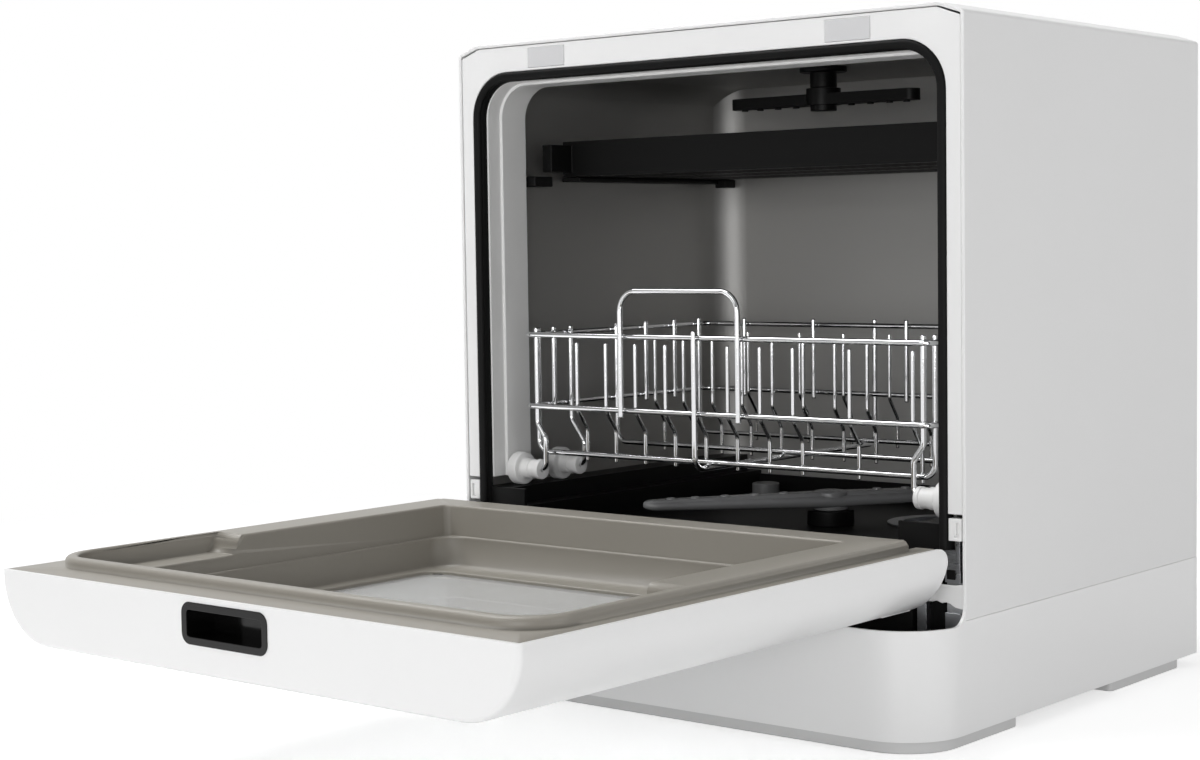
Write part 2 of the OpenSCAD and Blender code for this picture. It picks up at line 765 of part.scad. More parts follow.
module control_board() {
    stand = base_floor + base_wall;
    color([0.1, 0.35, 0.18]) translate([board_x, 0, 0]) {
        block(0, 85, 20, 120, stand + 6, stand + 8);
        for (x = [5, 75], y = [26, 108]) block(x, x + 6, y, y + 6, stand, stand + 6);
        block(20, 50, 40, 66, stand + 8, stand + 28);
        block(58, 72, 60, 100, stand + 8, stand + 22);
    }
}

module inlet_valve() {
    color([0.9, 0.9, 0.88]) difference() {
        union() {
            rod_y(inlet_x, fitting_start, cabinet_depth + 14, spigot_height, inlet_radius);
            rod_y(inlet_x, back_inner - 1, fitting_start, spigot_height, inlet_radius - shank_step);
            rod_y(inlet_x, back_inner - 8, back_inner, spigot_height, inlet_radius + 4);
            block(inlet_x - 15, inlet_x + 15, back_inner - 48, back_inner - 8, base_floor + base_wall,
                  spigot_height + 16);
        }
        rod_y(inlet_x, back_inner, cabinet_depth + 15, spigot_height, 6.5);
    }
}

module drain_spigot() {
    color([0.2, 0.2, 0.2]) difference() {
        union() {
            rod_y(drain_x, fitting_start, cabinet_depth + rear_reach, spigot_height, drain_radius);
            rod_y(drain_x, drain_end, fitting_start, spigot_height, drain_radius - shank_step);
            rod_y(drain_x, back_inner - 3, back_inner, spigot_height, drain_radius + 4);
        }
        rod_y(drain_x, drain_end + 8, cabinet_depth + rear_reach + 1, spigot_height, 6.5);
    }
}

module cord_gland() {
    color([0.15, 0.15, 0.15]) difference() {
        union() {
            rod_y(gland_x, back_inner - 2.5, cabinet_depth + 5, spigot_height, gland_radius);
            rod_y(gland_x, back_inner - 5, back_inner, spigot_height, gland_radius + 3);
        }
        rod_y(gland_x, back_inner - 6, cabinet_depth + 6, spigot_height, 3.6);
    }
}

module panel_screws() {
    color([0.7, 0.7, 0.72]) for (p = screw_places) {
        rod_y(p.x, panel_back, panel_back + 1.4, p.y, 3.4);
        rod_y(p.x, panel_front, panel_back, p.y, screw_radius);
    }
}

// ---------- hinges ----------

arm_x = door_half_width - 34;
arm_half = 3.5;
arm_hub = 4.3;
cheek_front = 6.3;
strap_front = 9.4;
strap_x = half_width - 19;
bar_low = pivot_z - arm_hub;
bar_high = pivot_z + 3.6;
cheek_lift = 0.5;

module hinge_arms() {
    color([0.93, 0.93, 0.93]) both_sides() {
        difference() {
            along_x(arm_x - arm_half, arm_x + arm_half) {
                translate([pivot_y, pivot_z]) circle(arm_hub);
                translate([pivot_y, bar_low]) square([pocket_back - pivot_y, bar_high - bar_low]);
            }
            rod_x(arm_x - arm_half - 1, arm_x + arm_half + 1, pivot_y, pivot_z, hinge_pin_radius + running_gap);
        }
        // wavy cheek that reaches out to the strap at the side of the door
        along_y(cheek_front, strap_front)
            translate([arm_x, pivot_z])
                polygon([[0, cheek_lift - arm_hub], [9, cheek_lift - arm_hub], [12, -2.75], [16, -4.15],
                         [19, -3.35], [22, -4.15], [25.5, -6.35], [33.4, -7.15], [33.4, 9.05], [25, 7.65],
                         [14, 7.65], [8, bar_high - pivot_z], [0, bar_high - pivot_z]]);
    }
}

module hinge_brackets() {
    color([0.5, 0.5, 0.51]) both_sides() {
        // post under the arm's root and strap beside the door
        block(arm_x - arm_half, arm_x + arm_half, well_back + 3, pocket_back, base_top + 2, bar_low);
        block(strap_x, strap_x + 11, strap_front, pocket_back, base_top + 2, basin_floor - basin_wall);
        block(strap_x, strap_x + 11, strap_front - 2.4, strap_front, 71, 81);
        block(strap_x, strap_x + 11, strap_front - 2.4, strap_front, 100, 120.5);
        block(strap_x + 8, strap_x + 11, bezel_back + 3.4, strap_front, 108, 139);
    }
}

module hinge_buffers() {
    color([0.03, 0.03, 0.03]) both_sides() block(strap_x + 1.7, strap_x + 7.8, cheek_front - 0.2,
                                                 strap_front - 2.4, 102, 108);
}

module hinge_covers() {
    x0 = mouth_half_width + 0.3;
    color([0.92, 0.92, 0.92]) both_sides() difference() {
        block(x0, x0 + 9.3, bezel_front, bezel_back + 3.4, 127, frame_leg_end - 2);
        block(x0 + 5.5, x0 + 7, bezel_front - 1, bezel_front + 2, 129, 138);
        block(x0 + 4, x0 + 5.6, bezel_front - 1, bezel_front + 2, 129, 130.4);
    }
}

module hinge_links() {
    color([0.75, 0.75, 0.76]) both_sides() along_x(arm_x + arm_half, arm_x + arm_half + 1.2)
        rounded_rect(cheek_front + 0.3, base_top + 2, strap_front + 1, bar_low + cheek_lift, 1.5);
}

module hinge_pins() {
    color([0.7, 0.7, 0.72]) both_sides() rod_x(arm_x - 9.5, arm_x + 8, pivot_y, pivot_z, hinge_pin_radius);
}

// ---------- upper tray ----------

rail_gap = 0.3;

module tray_rails() {
    wall = tub_half_width - 0.2;
    top = tray_bottom - rail_gap;
    color([0.06, 0.06, 0.06]) both_sides() {
        block(tray_half_width - 7, wall, tray_front + 11, tub_back - 28, top - 3.4, top);
        block(tray_half_width - 4, wall, frame_depth + 2, frame_depth + 22, top - 7.5, top);
        block(tray_half_width - 14, wall - 14, tub_back - 28, tub_back - 14, top - 6.5, top);
    }
}

module upper_tray() {
    w = tray_half_width;
    y1 = tray_front + tray_depth;
    wall = 2.5;
    front_top = tray_bottom + tray_front_height;
    slot_pitch = 9;
    color([0.06, 0.06, 0.06]) difference() {
        union() {
            block(-w, w, tray_front, y1, tray_bottom, tray_bottom + wall);
            block(-w, w, tray_front, tray_front + wall, tray_bottom, front_top);
            block(-w, w, y1 - wall, y1, tray_bottom, front_top - 8);
            both_sides() block(w - wall, w, tray_front, y1, tray_bottom, front_top - 8);
            // side horns that keep the tray square on its rails
            both_sides() block(w - 9, w, tray_front - 23, tray_front + 1, tray_bottom + 3, front_top - 3);
        }
        for (x = [-w + 14 : slot_pitch : w - 14], y = [tray_front + 12 : 60 : y1 - 60])
            block(x - 3, x + 3, y, y + 48, tray_bottom - 1, tray_bottom + wall + 1);
    }
}

// ---------- level float ----------

float_x = 68 - tub_half_width;
float_y = tub_back - 36;

module level_float() {
    color([0.27, 0.27, 0.28]) difference() {
        rod_z(float_x, float_y, basin_floor + seat_gap, basin_floor + 12, 11);
        rod_z(float_x, float_y, basin_floor, basin_floor + 9, 8.5);
    }
}

// ---------- door ----------

outer_face = door_face - door_thickness;
hinge_end = -door_end_gap;
free_end = front_end;
end_round = 11;

module door_section(inset) {
    w = door_half_width - inset;
    r = door_edge_radius - inset;
    z0 = outer_face + inset;
    translate([-w, z0 + r]) square([2 * w, door_thickness - inset - r + (inset > 0 ? 1 : 0)]);
    translate([-w + r, z0]) square([2 * (w - r), r + 0.5]);
    for (s = [-1, 1]) translate([s * (w - r), z0 + r]) intersection() {
        circle(r);
        translate([-r, -r]) square([2 * r, r]);
    }
}

glass_half = window_half_width + 5;
window_y0 = free_end + window_end_margin;
window_y1 = hinge_end - 85;
glass_y1 = window_y1 + 5;
glass_y0 = window_y0 - 5;
strip_half = 95;
strip_y0 = free_end + 7;
strip_y1 = free_end + 29;
slot_half = arm_half + 1;
recess_x0 = arm_x - slot_half;
recess_x1 = strap_x;
recess_y = hinge_end - 43;

module door_panel() {
    rib = 3.2;
    color([0.95, 0.95, 0.95]) {
        difference() {
            intersection() {
                along_y(free_end, hinge_end) door_section(0);
                along_x(-half_width, half_width) union() {
                    translate([free_end, outer_face]) square([door_length - end_round, door_thickness]);
                    translate([free_end, outer_face]) square([door_length, door_thickness - end_round]);
                    translate([hinge_end - end_round, door_face - end_round]) circle(end_round);
                }
            }
            along_y(free_end + door_wall, hinge_end - door_wall) door_section(door_wall);
            // window, control strip, handle and hinge openings
            along_z(outer_face - 1, outer_face + door_wall + 1)
                rounded_rect(-glass_half, glass_y0, glass_half, glass_y1, 15);
            block(-strip_half, strip_half, strip_y0, strip_y1, outer_face - 1, outer_face + 0.8);
            along_y(free_end - 1, free_end + door_wall + 1) handle_outline(0);
            both_sides() block(arm_x - slot_half, arm_x + slot_half, hinge_end - door_wall - 1, hinge_end + 1,
                               outer_face + door_wall + 0.4, door_face + 1);
        }
        // ribs that hold the hinge pins
        both_sides() for (x = [arm_x - 9.5, arm_x + arm_half + 1.3]) difference() {
            block(x, x + rib, hinge_end - 34, hinge_end - door_wall, outer_face + door_wall - 0.5,
                pivot_z + 12);
            rod_x(x - 1, x + rib + 1, pivot_y, pivot_z, hinge_pin_radius + running_gap);
        }
    }
}

handle_z = outer_face + 28.3;

module handle_outline(inset) {
    w = handle_width / 2 - inset;
    h = handle_height / 2 - inset;
    rounded_rect(handle_offset - w, handle_z - h, handle_offset + w, handle_z + h, 5.5 - inset);
}

module handle_cup() {
    depth = 21;
    color([0.02, 0.02, 0.02]) difference() {
        union() {
            along_y(free_end - handle_lip, free_end) handle_outline(-0.9);
            along_y(free_end, free_end + door_wall) handle_outline(0.1);
            along_y(free_end + door_wall, free_end + depth) handle_outline(1);
        }
        along_y(free_end - 1, free_end + depth - 2) handle_outline(3.4);
    }
}

rim_top = door_face + rim_rise;
rim_half = mouth_half_width - 1.5;
rim_front = free_end + 22;
rim_rear = hinge_end - 27;
cavity_half = door_half_width - 41;
cavity_front = free_end + 40;
cavity_rear = rim_rear - 24;
low_ledge = door_face - 5.5;
ledge_step = free_end + 152;
shelf = door_face - 14.5;
liner_floor = outer_face + 9.5;
liner_wall = 2.5;
upper_corner = 5;
lower_corner = 18;

// The basin's upright corners are tight above the shelf and rounder below it
module cavity_plan(grow, r) {
    rounded_rect(-cavity_half - grow, cavity_front - grow, cavity_half + grow, cavity_rear + grow, r);
}

// Round corners at the free end, square ones at the step
module ledge_plan(grow) {
    x1 = rim_half - 6 + grow;
    y0 = rim_front + 8 - grow;
    r = 24 + grow;
    translate([-x1, y0 + r]) square([2 * x1, ledge_step + grow - y0 - r]);
    translate([r - x1, y0]) square([2 * (x1 - r), r + 1]);
    for (s = [-1, 1]) translate([s * (x1 - r), y0 + r]) circle(r);
}

module door_liner() {
    face_half = door_half_width - door_wall - 0.4;
    face_front = free_end + door_wall + 0.4;
    face_rear = hinge_end - end_round;
    color([0.62, 0.6, 0.56]) difference() {
        union() {
            // flat border, then the raised rim and the roller tracks
            along_z(door_face - liner_wall, door_face)
                rounded_rect(-face_half, face_front, face_half, face_rear, 2);
            along_z(door_face - liner_wall, rim_top) rounded_rect(-rim_half, rim_front, rim_half, rim_rear, 30);
            block(-rim_half, rim_half, rim_rear - 34, rim_rear, door_face - liner_wall, rim_top);
            // walls of the two basins
            along_z(low_ledge - liner_wall, door_face) ledge_plan(liner_wall);
            along_z(shelf - liner_wall, door_face) cavity_plan(liner_wall, upper_corner + liner_wall);
            along_z(liner_floor - liner_wall, shelf) cavity_plan(liner_wall - 4, lower_corner + liner_wall);
        }
        along_z(shelf, rim_top + 1) cavity_plan(0, upper_corner);
        along_z(liner_floor, shelf + 1) cavity_plan(-4, lower_corner);
        // low ledges beside the basin, with an S-shaped step up to the tracks
        difference() {
            along_z(low_ledge, rim_top + 1) ledge_plan(0);
            for (s = [-1, 1]) translate([s * (cavity_half + 13), ledge_step, 0]) along_x(-14, 14) ledge_ramp();
        }
        along_z(liner_floor - liner_wall - 1, liner_floor + 1)
            rounded_rect(-window_half_width, window_y0, window_half_width, window_y1, 15);
        // hollow undersides of the rim and the tracks
        both_sides() block(cavity_half + liner_wall, rim_half - 2.5, ledge_step + 4, rim_rear - 18,
                           outer_face, rim_top - liner_wall);
        // hinge slots and the recesses beside them
        both_sides() block(recess_x0, recess_x1, recess_y, hinge_end + 1, outer_face, rim_top - 2);
        both_sides() block(recess_x0, recess_x1, rim_rear, hinge_end + 1, outer_face, rim_top + 1);
    }
}

// Outline of the S-shaped step, from the low ledge up to the track
module ledge_ramp() {
    rise = rim_top - low_ledge;
    r = rise / 2;
    difference() {
        union() {
            translate([-r, low_ledge - 1]) square([r + 5, r + 1]);
            translate([0, low_ledge - 1]) square([5, rise + 1]);
            translate([-2 * r, low_ledge - 1]) square([r + 0.1, r + 1]);
        }
        translate([-2 * r, low_ledge + r]) circle(r);
        translate([-3 * r, low_ledge]) square([r, r]);
    }
    intersection() {
        translate([0, low_ledge + r]) circle(r);
        translate([-r, low_ledge]) square([r + 0.1, rise]);
    }
}

module inner_glass() {
    color([0.8, 0.85, 0.87, 0.5]) along_z(liner_floor - liner_wall - 3, liner_floor - liner_wall)
        rounded_rect(-glass_half - 2, glass_y0 - 2, glass_half + 2, glass_y1 + 2, 16);
}

module window_seal() {
    z0 = outer_face + door_wall;
    color([0.08, 0.08, 0.08]) along_z(z0, liner_floor - liner_wall - 3) difference() {
        rounded_rect(-glass_half - 3, glass_y0 - 3, glass_half + 3, glass_y1 + 3, 17);
        rounded_rect(-glass_half + 3, glass_y0 + 3, glass_half - 3, glass_y1 - 3, 13);
    }
}

module outer_glass() {
    color([0.75, 0.8, 0.82, 0.5]) along_z(outer_face, outer_face + door_wall)
        rounded_rect(-glass_half + 0.3, glass_y0 + 0.3, glass_half - 0.3, glass_y1 - 0.3, 14.7);
}

module touch_strip() {
    color([0.03, 0.03, 0.03]) block(-strip_half + 0.1, strip_half - 0.1, strip_y0 + 0.1, strip_y1 - 0.1,
                                    outer_face, outer_face + 0.8);
}

module door_board() {
    color([0.1, 0.35, 0.18]) {
        z0 = outer_face + door_wall;
        block(50, 92, strip_y0 + 1, strip_y1, z0 + 4, z0 + 5.6);
        for (x = [54, 84]) block(x, x + 4, strip_y0 + 6, strip_y0 + 10, z0, z0 + 4);
        block(60, 78, strip_y0 + 4, strip_y0 + 16, z0 + 5.6, z0 + 9);
    }
}

module door_magnets() {
    color([0.4, 0.4, 0.42]) both_sides() block(pad_x - 12, pad_x + 12, rim_front - 14, rim_front - 6,
                                               door_face - liner_wall - 7, door_face - liner_wall);
}

// ---------- rack ----------

rack_back = rack_front + rack_depth;
rail_bend = 8;
tine_gap = 26.87;
tine_first = 47.5 - rack_half_width;
tine_last = rack_half_width - 63.8;
tine_count = floor((tine_last - tine_first - 20) / tine_gap) + 1;
tine_places = concat([for (i = [0 : tine_count - 1]) tine_first + i * tine_gap],
                     [tine_last, rack_half_width - 16]);
sparse_places = [-114, -65, -25, 16, 58];
weld = rail_radius + tine_radius;
// The tines step back on a 3 : 4 slope, so their bends end on round numbers
tine_step = 10.8;
tine_drop = tine_step * 4 / 3;
tine_bend = 6;
row_ys = [rack_front + weld, rack_front + 93, rack_back - 14 + weld - tine_step];
cross_wire_ys = [for (y = row_ys) y + tine_step - weld];
tine_top = top_rail - 5;
tip = 5;
roller_z = track_height + seat_gap + roller_radius;
roller_ys = [rack_front + 2 * rail_radius, rack_front + 2 * rail_radius + 43];
disc_x0 = rack_half_width + 4;
disc_x1 = rack_half_width + 12.5;
hub_x0 = rack_half_width - 13;
hub_radius = 7.3;

module rack_rails() {
    color([0.85, 0.85, 0.87]) for (z = [top_rail, middle_rail])
        wire_ring(-rack_half_width, rack_front, rack_half_width, rack_back, z, rail_radius, rail_bend);
}

// U-shaped wires across the rack, from one top rail under the plates to the other
module rack_cross_wires() {
    w = rack_half_width - 2 * rail_radius;
    color([0.85, 0.85, 0.87]) for (y = cross_wire_ys) translate([0, y, 0]) rotate([90, 0, 0])
        bent_wire([[-w, top_rail + tip], [-w, rack_bottom], [w, rack_bottom], [w, top_rail + tip]],
                  rail_radius, 9);
}

// The wire that runs down the front, under the cross wires and up the rear
module rack_spine() {
    z = rack_bottom - 2 * rail_radius;
    y0 = rack_front - 2 * rail_radius;
    y1 = rack_back + 2 * rail_radius;
    color([0.85, 0.85, 0.87]) translate([-13.2, 0, 0]) rotate([90, 0, 90])
        bent_wire([[y0, top_rail + tip], [y0, z], [y1, z], [y1, top_rail + tip]], rail_radius, 9);
}

// Short uprights that tie the middle rail to the top rail
module rack_uprights() {
    w = rack_half_width - 2 * rail_radius;
    z0 = middle_rail - tip;
    z1 = top_rail + tip;
    color([0.85, 0.85, 0.87]) {
        both_sides() for (y = [rack_front + 28, rack_back - 82, rack_back - 46])
            rod_z(w, y, z0, z1, rail_radius);
        for (x = [-130, -64, 20, 92]) rod_z(x, rack_back - 2 * rail_radius, z0, z1, rail_radius);
    }
}

// One plate tine: upright above, stepped back at the middle rail, resting on its cross wire
module plate_tine(x, y) {
    bend_z = middle_rail - 1.6;
    translate([x, 0, 0]) rotate([90, 0, 90])
        bent_wire([[y, tine_top], [y, bend_z], [y + tine_step, bend_z - tine_drop],
                   [y + tine_step, rack_bottom - tip]], tine_radius, tine_bend);
}

module front_tines() {
    color([0.85, 0.85, 0.87]) for (x = tine_places) plate_tine(x, row_ys[0]);
}

module rear_tines() {
    color([0.85, 0.85, 0.87]) {
        for (x = tine_places) plate_tine(x, row_ys[1]);
        for (x = sparse_places) plate_tine(x, row_ys[2]);
    }
}

module rack_handle() {
    y = rack_front - 2 * rail_radius;
    half = rack_handle_width / 2;
    foot = middle_rail - tip;
    color([0.88, 0.88, 0.9]) translate([rack_handle_offset, y, 0]) rotate([90, 0, 0])
        bent_wire([[-half, foot], [-half, rack_handle_top], [half, rack_handle_top], [half, foot]],
                  rail_radius, 14);
}

// Stepped wire that carries one roller, with its axle; the step also follows a 3 : 4 slope
module roller_wire(y, step) {
    low_x = hub_x0 - 3;
    step_z = 182;
    translate([0, y, 0]) rotate([90, 0, 0])
        bent_wire([[low_x + step, top_rail + tip], [low_x + step, step_z], [low_x, step_z - step * 4 / 3],
                   [low_x, roller_z], [disc_x1 + 2, roller_z]], rail_radius, 6);
}

module roller_axles() {
    color([0.85, 0.85, 0.87]) both_sides() {
        roller_wire(roller_ys[0], 7.5);
        roller_wire(roller_ys[1], 12);
    }
}

module roller(side, y) {
    color([0.95, 0.95, 0.94]) mirror([side < 0 ? 1 : 0, 0, 0]) difference() {
        union() {
            rod_x(disc_x0, disc_x1, y, roller_z, roller_radius);
            rod_x(hub_x0, disc_x0, y, roller_z, hub_radius);
        }
        rod_x(hub_x0 - 1, disc_x1 + 1, y, roller_z, rail_radius + running_gap);
        rod_x(hub_x0 - 1, disc_x0 - 4, y, roller_z, hub_radius - 1.8);
        for (a = [45, 165, 285]) translate([0, y, roller_z]) rotate([a, 0, 0])
            rod_x(disc_x0 - 1, disc_x0 + 3, 9.4, 0, 1.6);
    }
}

module roller_front_left() {
    roller(-1, roller_ys[0]);
}

module roller_rear_left() {
    roller(-1, roller_ys[1]);
}

module roller_front_right() {
    roller(1, roller_ys[0]);
}

module roller_rear_right() {
    roller(1, roller_ys[1]);
}

module placed() {
    translate([0, frame_shift, 0]) children();
}

placed() outer_casing();
placed() rear_panel();
placed() front_bezel();
placed() catch_pads();
placed() base_housing();
placed() feet();
placed() tub_liner();
placed() tub_front_frame();
placed() door_gasket();
placed() sump_basin();
placed() hinge_well();
placed() filter_basket();
placed() lower_arm_post();
placed() upper_arm_holder();
placed() feed_pipe();
placed() circulation_pump();
placed() pump_motor();
placed() drain_pump();
placed() water_heater();
placed() sump_hose();
placed() fan_housing();
placed() fan_wheel();
placed() air_break();
placed() control_board();
placed() inlet_valve();
placed() drain_spigot();
placed() cord_gland();
placed() panel_screws();
placed() hinge_brackets();
placed() hinge_buffers();
placed() hinge_arms();
placed() hinge_covers();
placed() hinge_links();
placed() tray_rails();
placed() upper_tray();
placed() level_float();
placed() door_panel();
placed() door_liner();
placed() inner_glass();
placed() outer_glass();
placed() window_seal();
placed() handle_cup();
placed() touch_strip();
placed() door_board();
placed() door_magnets();
placed() hinge_pins();
placed() rack_rails();
placed() rack_cross_wires();
placed() rack_spine();
placed() rack_uprights();
placed() front_tines();
placed() rear_tines();
placed() rack_handle();
placed() roller_axles();
placed() roller_front_left();
placed() roller_rear_left();
placed() roller_front_right();
placed() roller_rear_right();
placed() lower_spray_arm();
placed() upper_spray_arm();
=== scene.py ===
# %% [markdown]
# # A countertop dishwasher with its door down
#
# This notebook dresses a finished solid model of a compact dishwasher. The solid model is the
# frame: it says where every piece is and how it moves. The cells below give each visible piece the
# soft edges, round wires and finishes of the real thing, and set up the camera and the light.
#
# The machine is described in millimetres, as its maker would: x to the right, y back from the
# plane of the front bezel, z up from the worktop. One matrix turns that into Blender's metres.

# %% Load the frame
import json
import math

import bmesh
import bpy
from mathutils import Matrix, Vector


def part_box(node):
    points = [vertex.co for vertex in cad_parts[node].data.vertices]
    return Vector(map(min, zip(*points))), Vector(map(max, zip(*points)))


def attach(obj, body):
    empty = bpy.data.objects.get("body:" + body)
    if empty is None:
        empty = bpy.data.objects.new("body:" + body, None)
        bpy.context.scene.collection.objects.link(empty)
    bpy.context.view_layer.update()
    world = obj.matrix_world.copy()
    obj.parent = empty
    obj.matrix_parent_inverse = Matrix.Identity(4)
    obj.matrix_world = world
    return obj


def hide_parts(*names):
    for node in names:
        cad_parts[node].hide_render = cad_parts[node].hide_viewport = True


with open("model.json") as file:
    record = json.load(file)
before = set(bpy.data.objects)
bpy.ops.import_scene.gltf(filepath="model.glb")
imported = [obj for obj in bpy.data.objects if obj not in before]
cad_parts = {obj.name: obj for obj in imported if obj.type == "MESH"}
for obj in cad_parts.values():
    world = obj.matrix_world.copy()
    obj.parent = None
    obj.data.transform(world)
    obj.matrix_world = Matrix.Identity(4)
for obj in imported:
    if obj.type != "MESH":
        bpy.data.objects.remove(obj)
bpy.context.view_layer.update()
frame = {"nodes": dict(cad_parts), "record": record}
nodes = frame["nodes"]
scene = bpy.context.scene
scene.view_settings.view_transform = "Standard"

# %% [markdown]
# ## From millimetres to the shared frame
#
# The casing's front edge is the plane y = 0 of the machine. Its place in the frame gives the shift.

# %% The matrices between the two
MM = 0.001
bezel_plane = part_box("outer_casing")[0].y
to_frame = Matrix.Translation((0, bezel_plane, 0)) @ Matrix.Scale(MM, 4)
to_machine = to_frame.inverted()
print("bezel plane at y =", round(bezel_plane, 4), "m")

# %% [markdown]
# ## The camera
#
# The camera stands low at the front right, a little above the open door, and looks slightly down.
# Its place and lens come first, because every later choice is judged through it. A long lens keeps
# the verticals nearly parallel, as a product photographer would.

# %% Camera
eye = Vector((882.0, -1142.0, 313.1))
heading, tilt, roll = 0.700057, 0.0637086, -0.0149559
camera_data = bpy.data.cameras.new("camera")
camera_data.sensor_width = 36.0
camera_data.lens = 64.645
camera_data.clip_start = 0.05
camera_data.clip_end = 60.0
camera = bpy.data.objects.new("camera", camera_data)
turn = (Matrix.Rotation(heading, 4, "Z") @ Matrix.Rotation(math.pi / 2 - tilt, 4, "X")
        @ Matrix.Rotation(roll, 4, "Z"))
camera.matrix_world = Matrix.Translation(to_frame @ eye) @ turn
scene.collection.objects.link(camera)
scene.camera = camera
print("camera at", [round(v, 3) for v in camera.matrix_world.translation])

# %% [markdown]
# ## Small helpers for building node trees
#
# A material is a tree of nodes. These two helpers add a node with its values and join two sockets,
# so that the cells on materials read as a list of what is in them.

# %% Node helpers
def add(tree, kind, values=None, **settings):
    """Add a node, set its properties, and set its input sockets by name or number."""
    made = tree.nodes.new(kind)
    for key, value in settings.items():
        setattr(made, key, value)
    for key, value in (values or {}).items():
        made.inputs[key].default_value = value
    return made


def join(tree, *pairs):
    """Link output sockets to input sockets, given as (output, input) pairs."""
    for source, target in pairs:
        tree.links.new(source, target)


# %% [markdown]
# ## Floor, background and light
#
# The picture stands on plain white. The floor is a pale diffuse sheet that still takes the
# machine's shadow, with a little white added only for rays that come from the camera, a gloss or a
# glass. Away from the machine it fades to full white, so that no horizon shows. The camera sees
# the world as plain white too. Chrome and steel mirror a white backdrop on the far side of the
# machine and a dim room elsewhere.
#
# A large lamp overhead gives the ledges of the open door their brightness and leaves the walls of
# its basin in shade. A lamp in front lights the bezel, a low one reaches in under the door, and
# one at the right lights the casing's side.

# %% Floor
def seen_ray(tree):
    """1 for rays from the camera, a glossy or a transmitting surface, else 0."""
    path = add(tree, "ShaderNodeLightPath")
    either = add(tree, "ShaderNodeMath", operation="MAXIMUM")
    seen = add(tree, "ShaderNodeMath", operation="MAXIMUM")
    join(tree, (path.outputs["Is Camera Ray"], either.inputs[0]),
         (path.outputs["Is Glossy Ray"], either.inputs[1]),
         (either.outputs[0], seen.inputs[0]),
         (path.outputs["Is Transmission Ray"], seen.inputs[1]))
    return seen.outputs[0]


floor_finish = bpy.data.materials.new("pale_floor")
floor_finish.use_nodes = True
tree = floor_finish.node_tree
tree.nodes.clear()
sheet = add(tree, "ShaderNodeBsdfDiffuse", {"Color": (0.82, 0.82, 0.82, 1)})
glow = add(tree, "ShaderNodeEmission", {"Color": (1, 1, 1, 1)})
lift = add(tree, "ShaderNodeMath", {1: 0.55}, operation="MULTIPLY")
both = add(tree, "ShaderNodeAddShader")
where = add(tree, "ShaderNodeTexCoord")
away = add(tree, "ShaderNodeVectorMath", operation="LENGTH")
fade = add(tree, "ShaderNodeMapRange", {"From Min": 0.55, "From Max": 1.3},
           interpolation_type="SMOOTHSTEP")
far = add(tree, "ShaderNodeMath", operation="MULTIPLY")
blank = add(tree, "ShaderNodeEmission", {"Color": (1, 1, 1, 1), "Strength": 1.0})
choose = add(tree, "ShaderNodeMixShader")
out = add(tree, "ShaderNodeOutputMaterial")
seen = seen_ray(tree)
join(tree, (seen, lift.inputs[0]), (lift.outputs[0], glow.inputs["Strength"]),
     (sheet.outputs[0], both.inputs[0]), (glow.outputs[0], both.inputs[1]),
     (where.outputs["Object"], away.inputs[0]), (away.outputs["Value"], fade.inputs["Value"]),
     (fade.outputs["Result"], far.inputs[0]), (seen, far.inputs[1]),
     (far.outputs[0], choose.inputs["Fac"]), (both.outputs[0], choose.inputs[1]),
     (blank.outputs[0], choose.inputs[2]), (choose.outputs[0], out.inputs["Surface"]))

bm = bmesh.new()
bmesh.ops.create_grid(bm, x_segments=1, y_segments=1, size=14)
floor_mesh = bpy.data.meshes.new("floor")
bm.to_mesh(floor_mesh)
bm.free()
floor = bpy.data.objects.new("floor", floor_mesh)
floor_mesh.materials.append(floor_finish)
scene.collection.objects.link(floor)

# %% World and lamps
world = bpy.data.worlds.new("studio")
scene.world = world
world.use_nodes = True
tree = world.node_tree
tree.nodes.clear()
room = add(tree, "ShaderNodeBackground", {"Color": (1, 1, 1, 1), "Strength": 0.30})
white = add(tree, "ShaderNodeBackground", {"Color": (1, 1, 1, 1), "Strength": 1.0})
path = add(tree, "ShaderNodeLightPath")
where = add(tree, "ShaderNodeTexCoord")
towards = add(tree, "ShaderNodeVectorMath", {1: (-0.55, 0.80, -0.25)}, operation="DOT_PRODUCT")
backdrop = add(tree, "ShaderNodeMapRange", {"From Min": -0.1, "From Max": 0.6},
               interpolation_type="SMOOTHSTEP")
mirrored = add(tree, "ShaderNodeMath", operation="MULTIPLY")
share = add(tree, "ShaderNodeMath", operation="MAXIMUM")
choose = add(tree, "ShaderNodeMixShader")
out = add(tree, "ShaderNodeOutputWorld")
join(tree, (where.outputs["Generated"], towards.inputs[0]),
     (towards.outputs["Value"], backdrop.inputs["Value"]),
     (backdrop.outputs["Result"], mirrored.inputs[0]), (seen_ray(tree), mirrored.inputs[1]),
     (mirrored.outputs[0], share.inputs[0]), (path.outputs["Is Camera Ray"], share.inputs[1]),
     (share.outputs[0], choose.inputs["Fac"]), (room.outputs[0], choose.inputs[1]),
     (white.outputs[0], choose.inputs[2]), (choose.outputs[0], out.inputs["Surface"]))


def softbox(name, place, target, width, height, power):
    """A rectangular area lamp at a place, turned towards a target, both in metres."""
    data = bpy.data.lights.new(name, "AREA")
    data.shape = "RECTANGLE"
    data.size, data.size_y, data.energy = width, height, power
    lamp = bpy.data.objects.new(name, data)
    aim = (Vector(target) - Vector(place)).to_track_quat("-Z", "Y")
    lamp.matrix_world = Matrix.Translation(place) @ aim.to_matrix().to_4x4()
    scene.collection.objects.link(lamp)


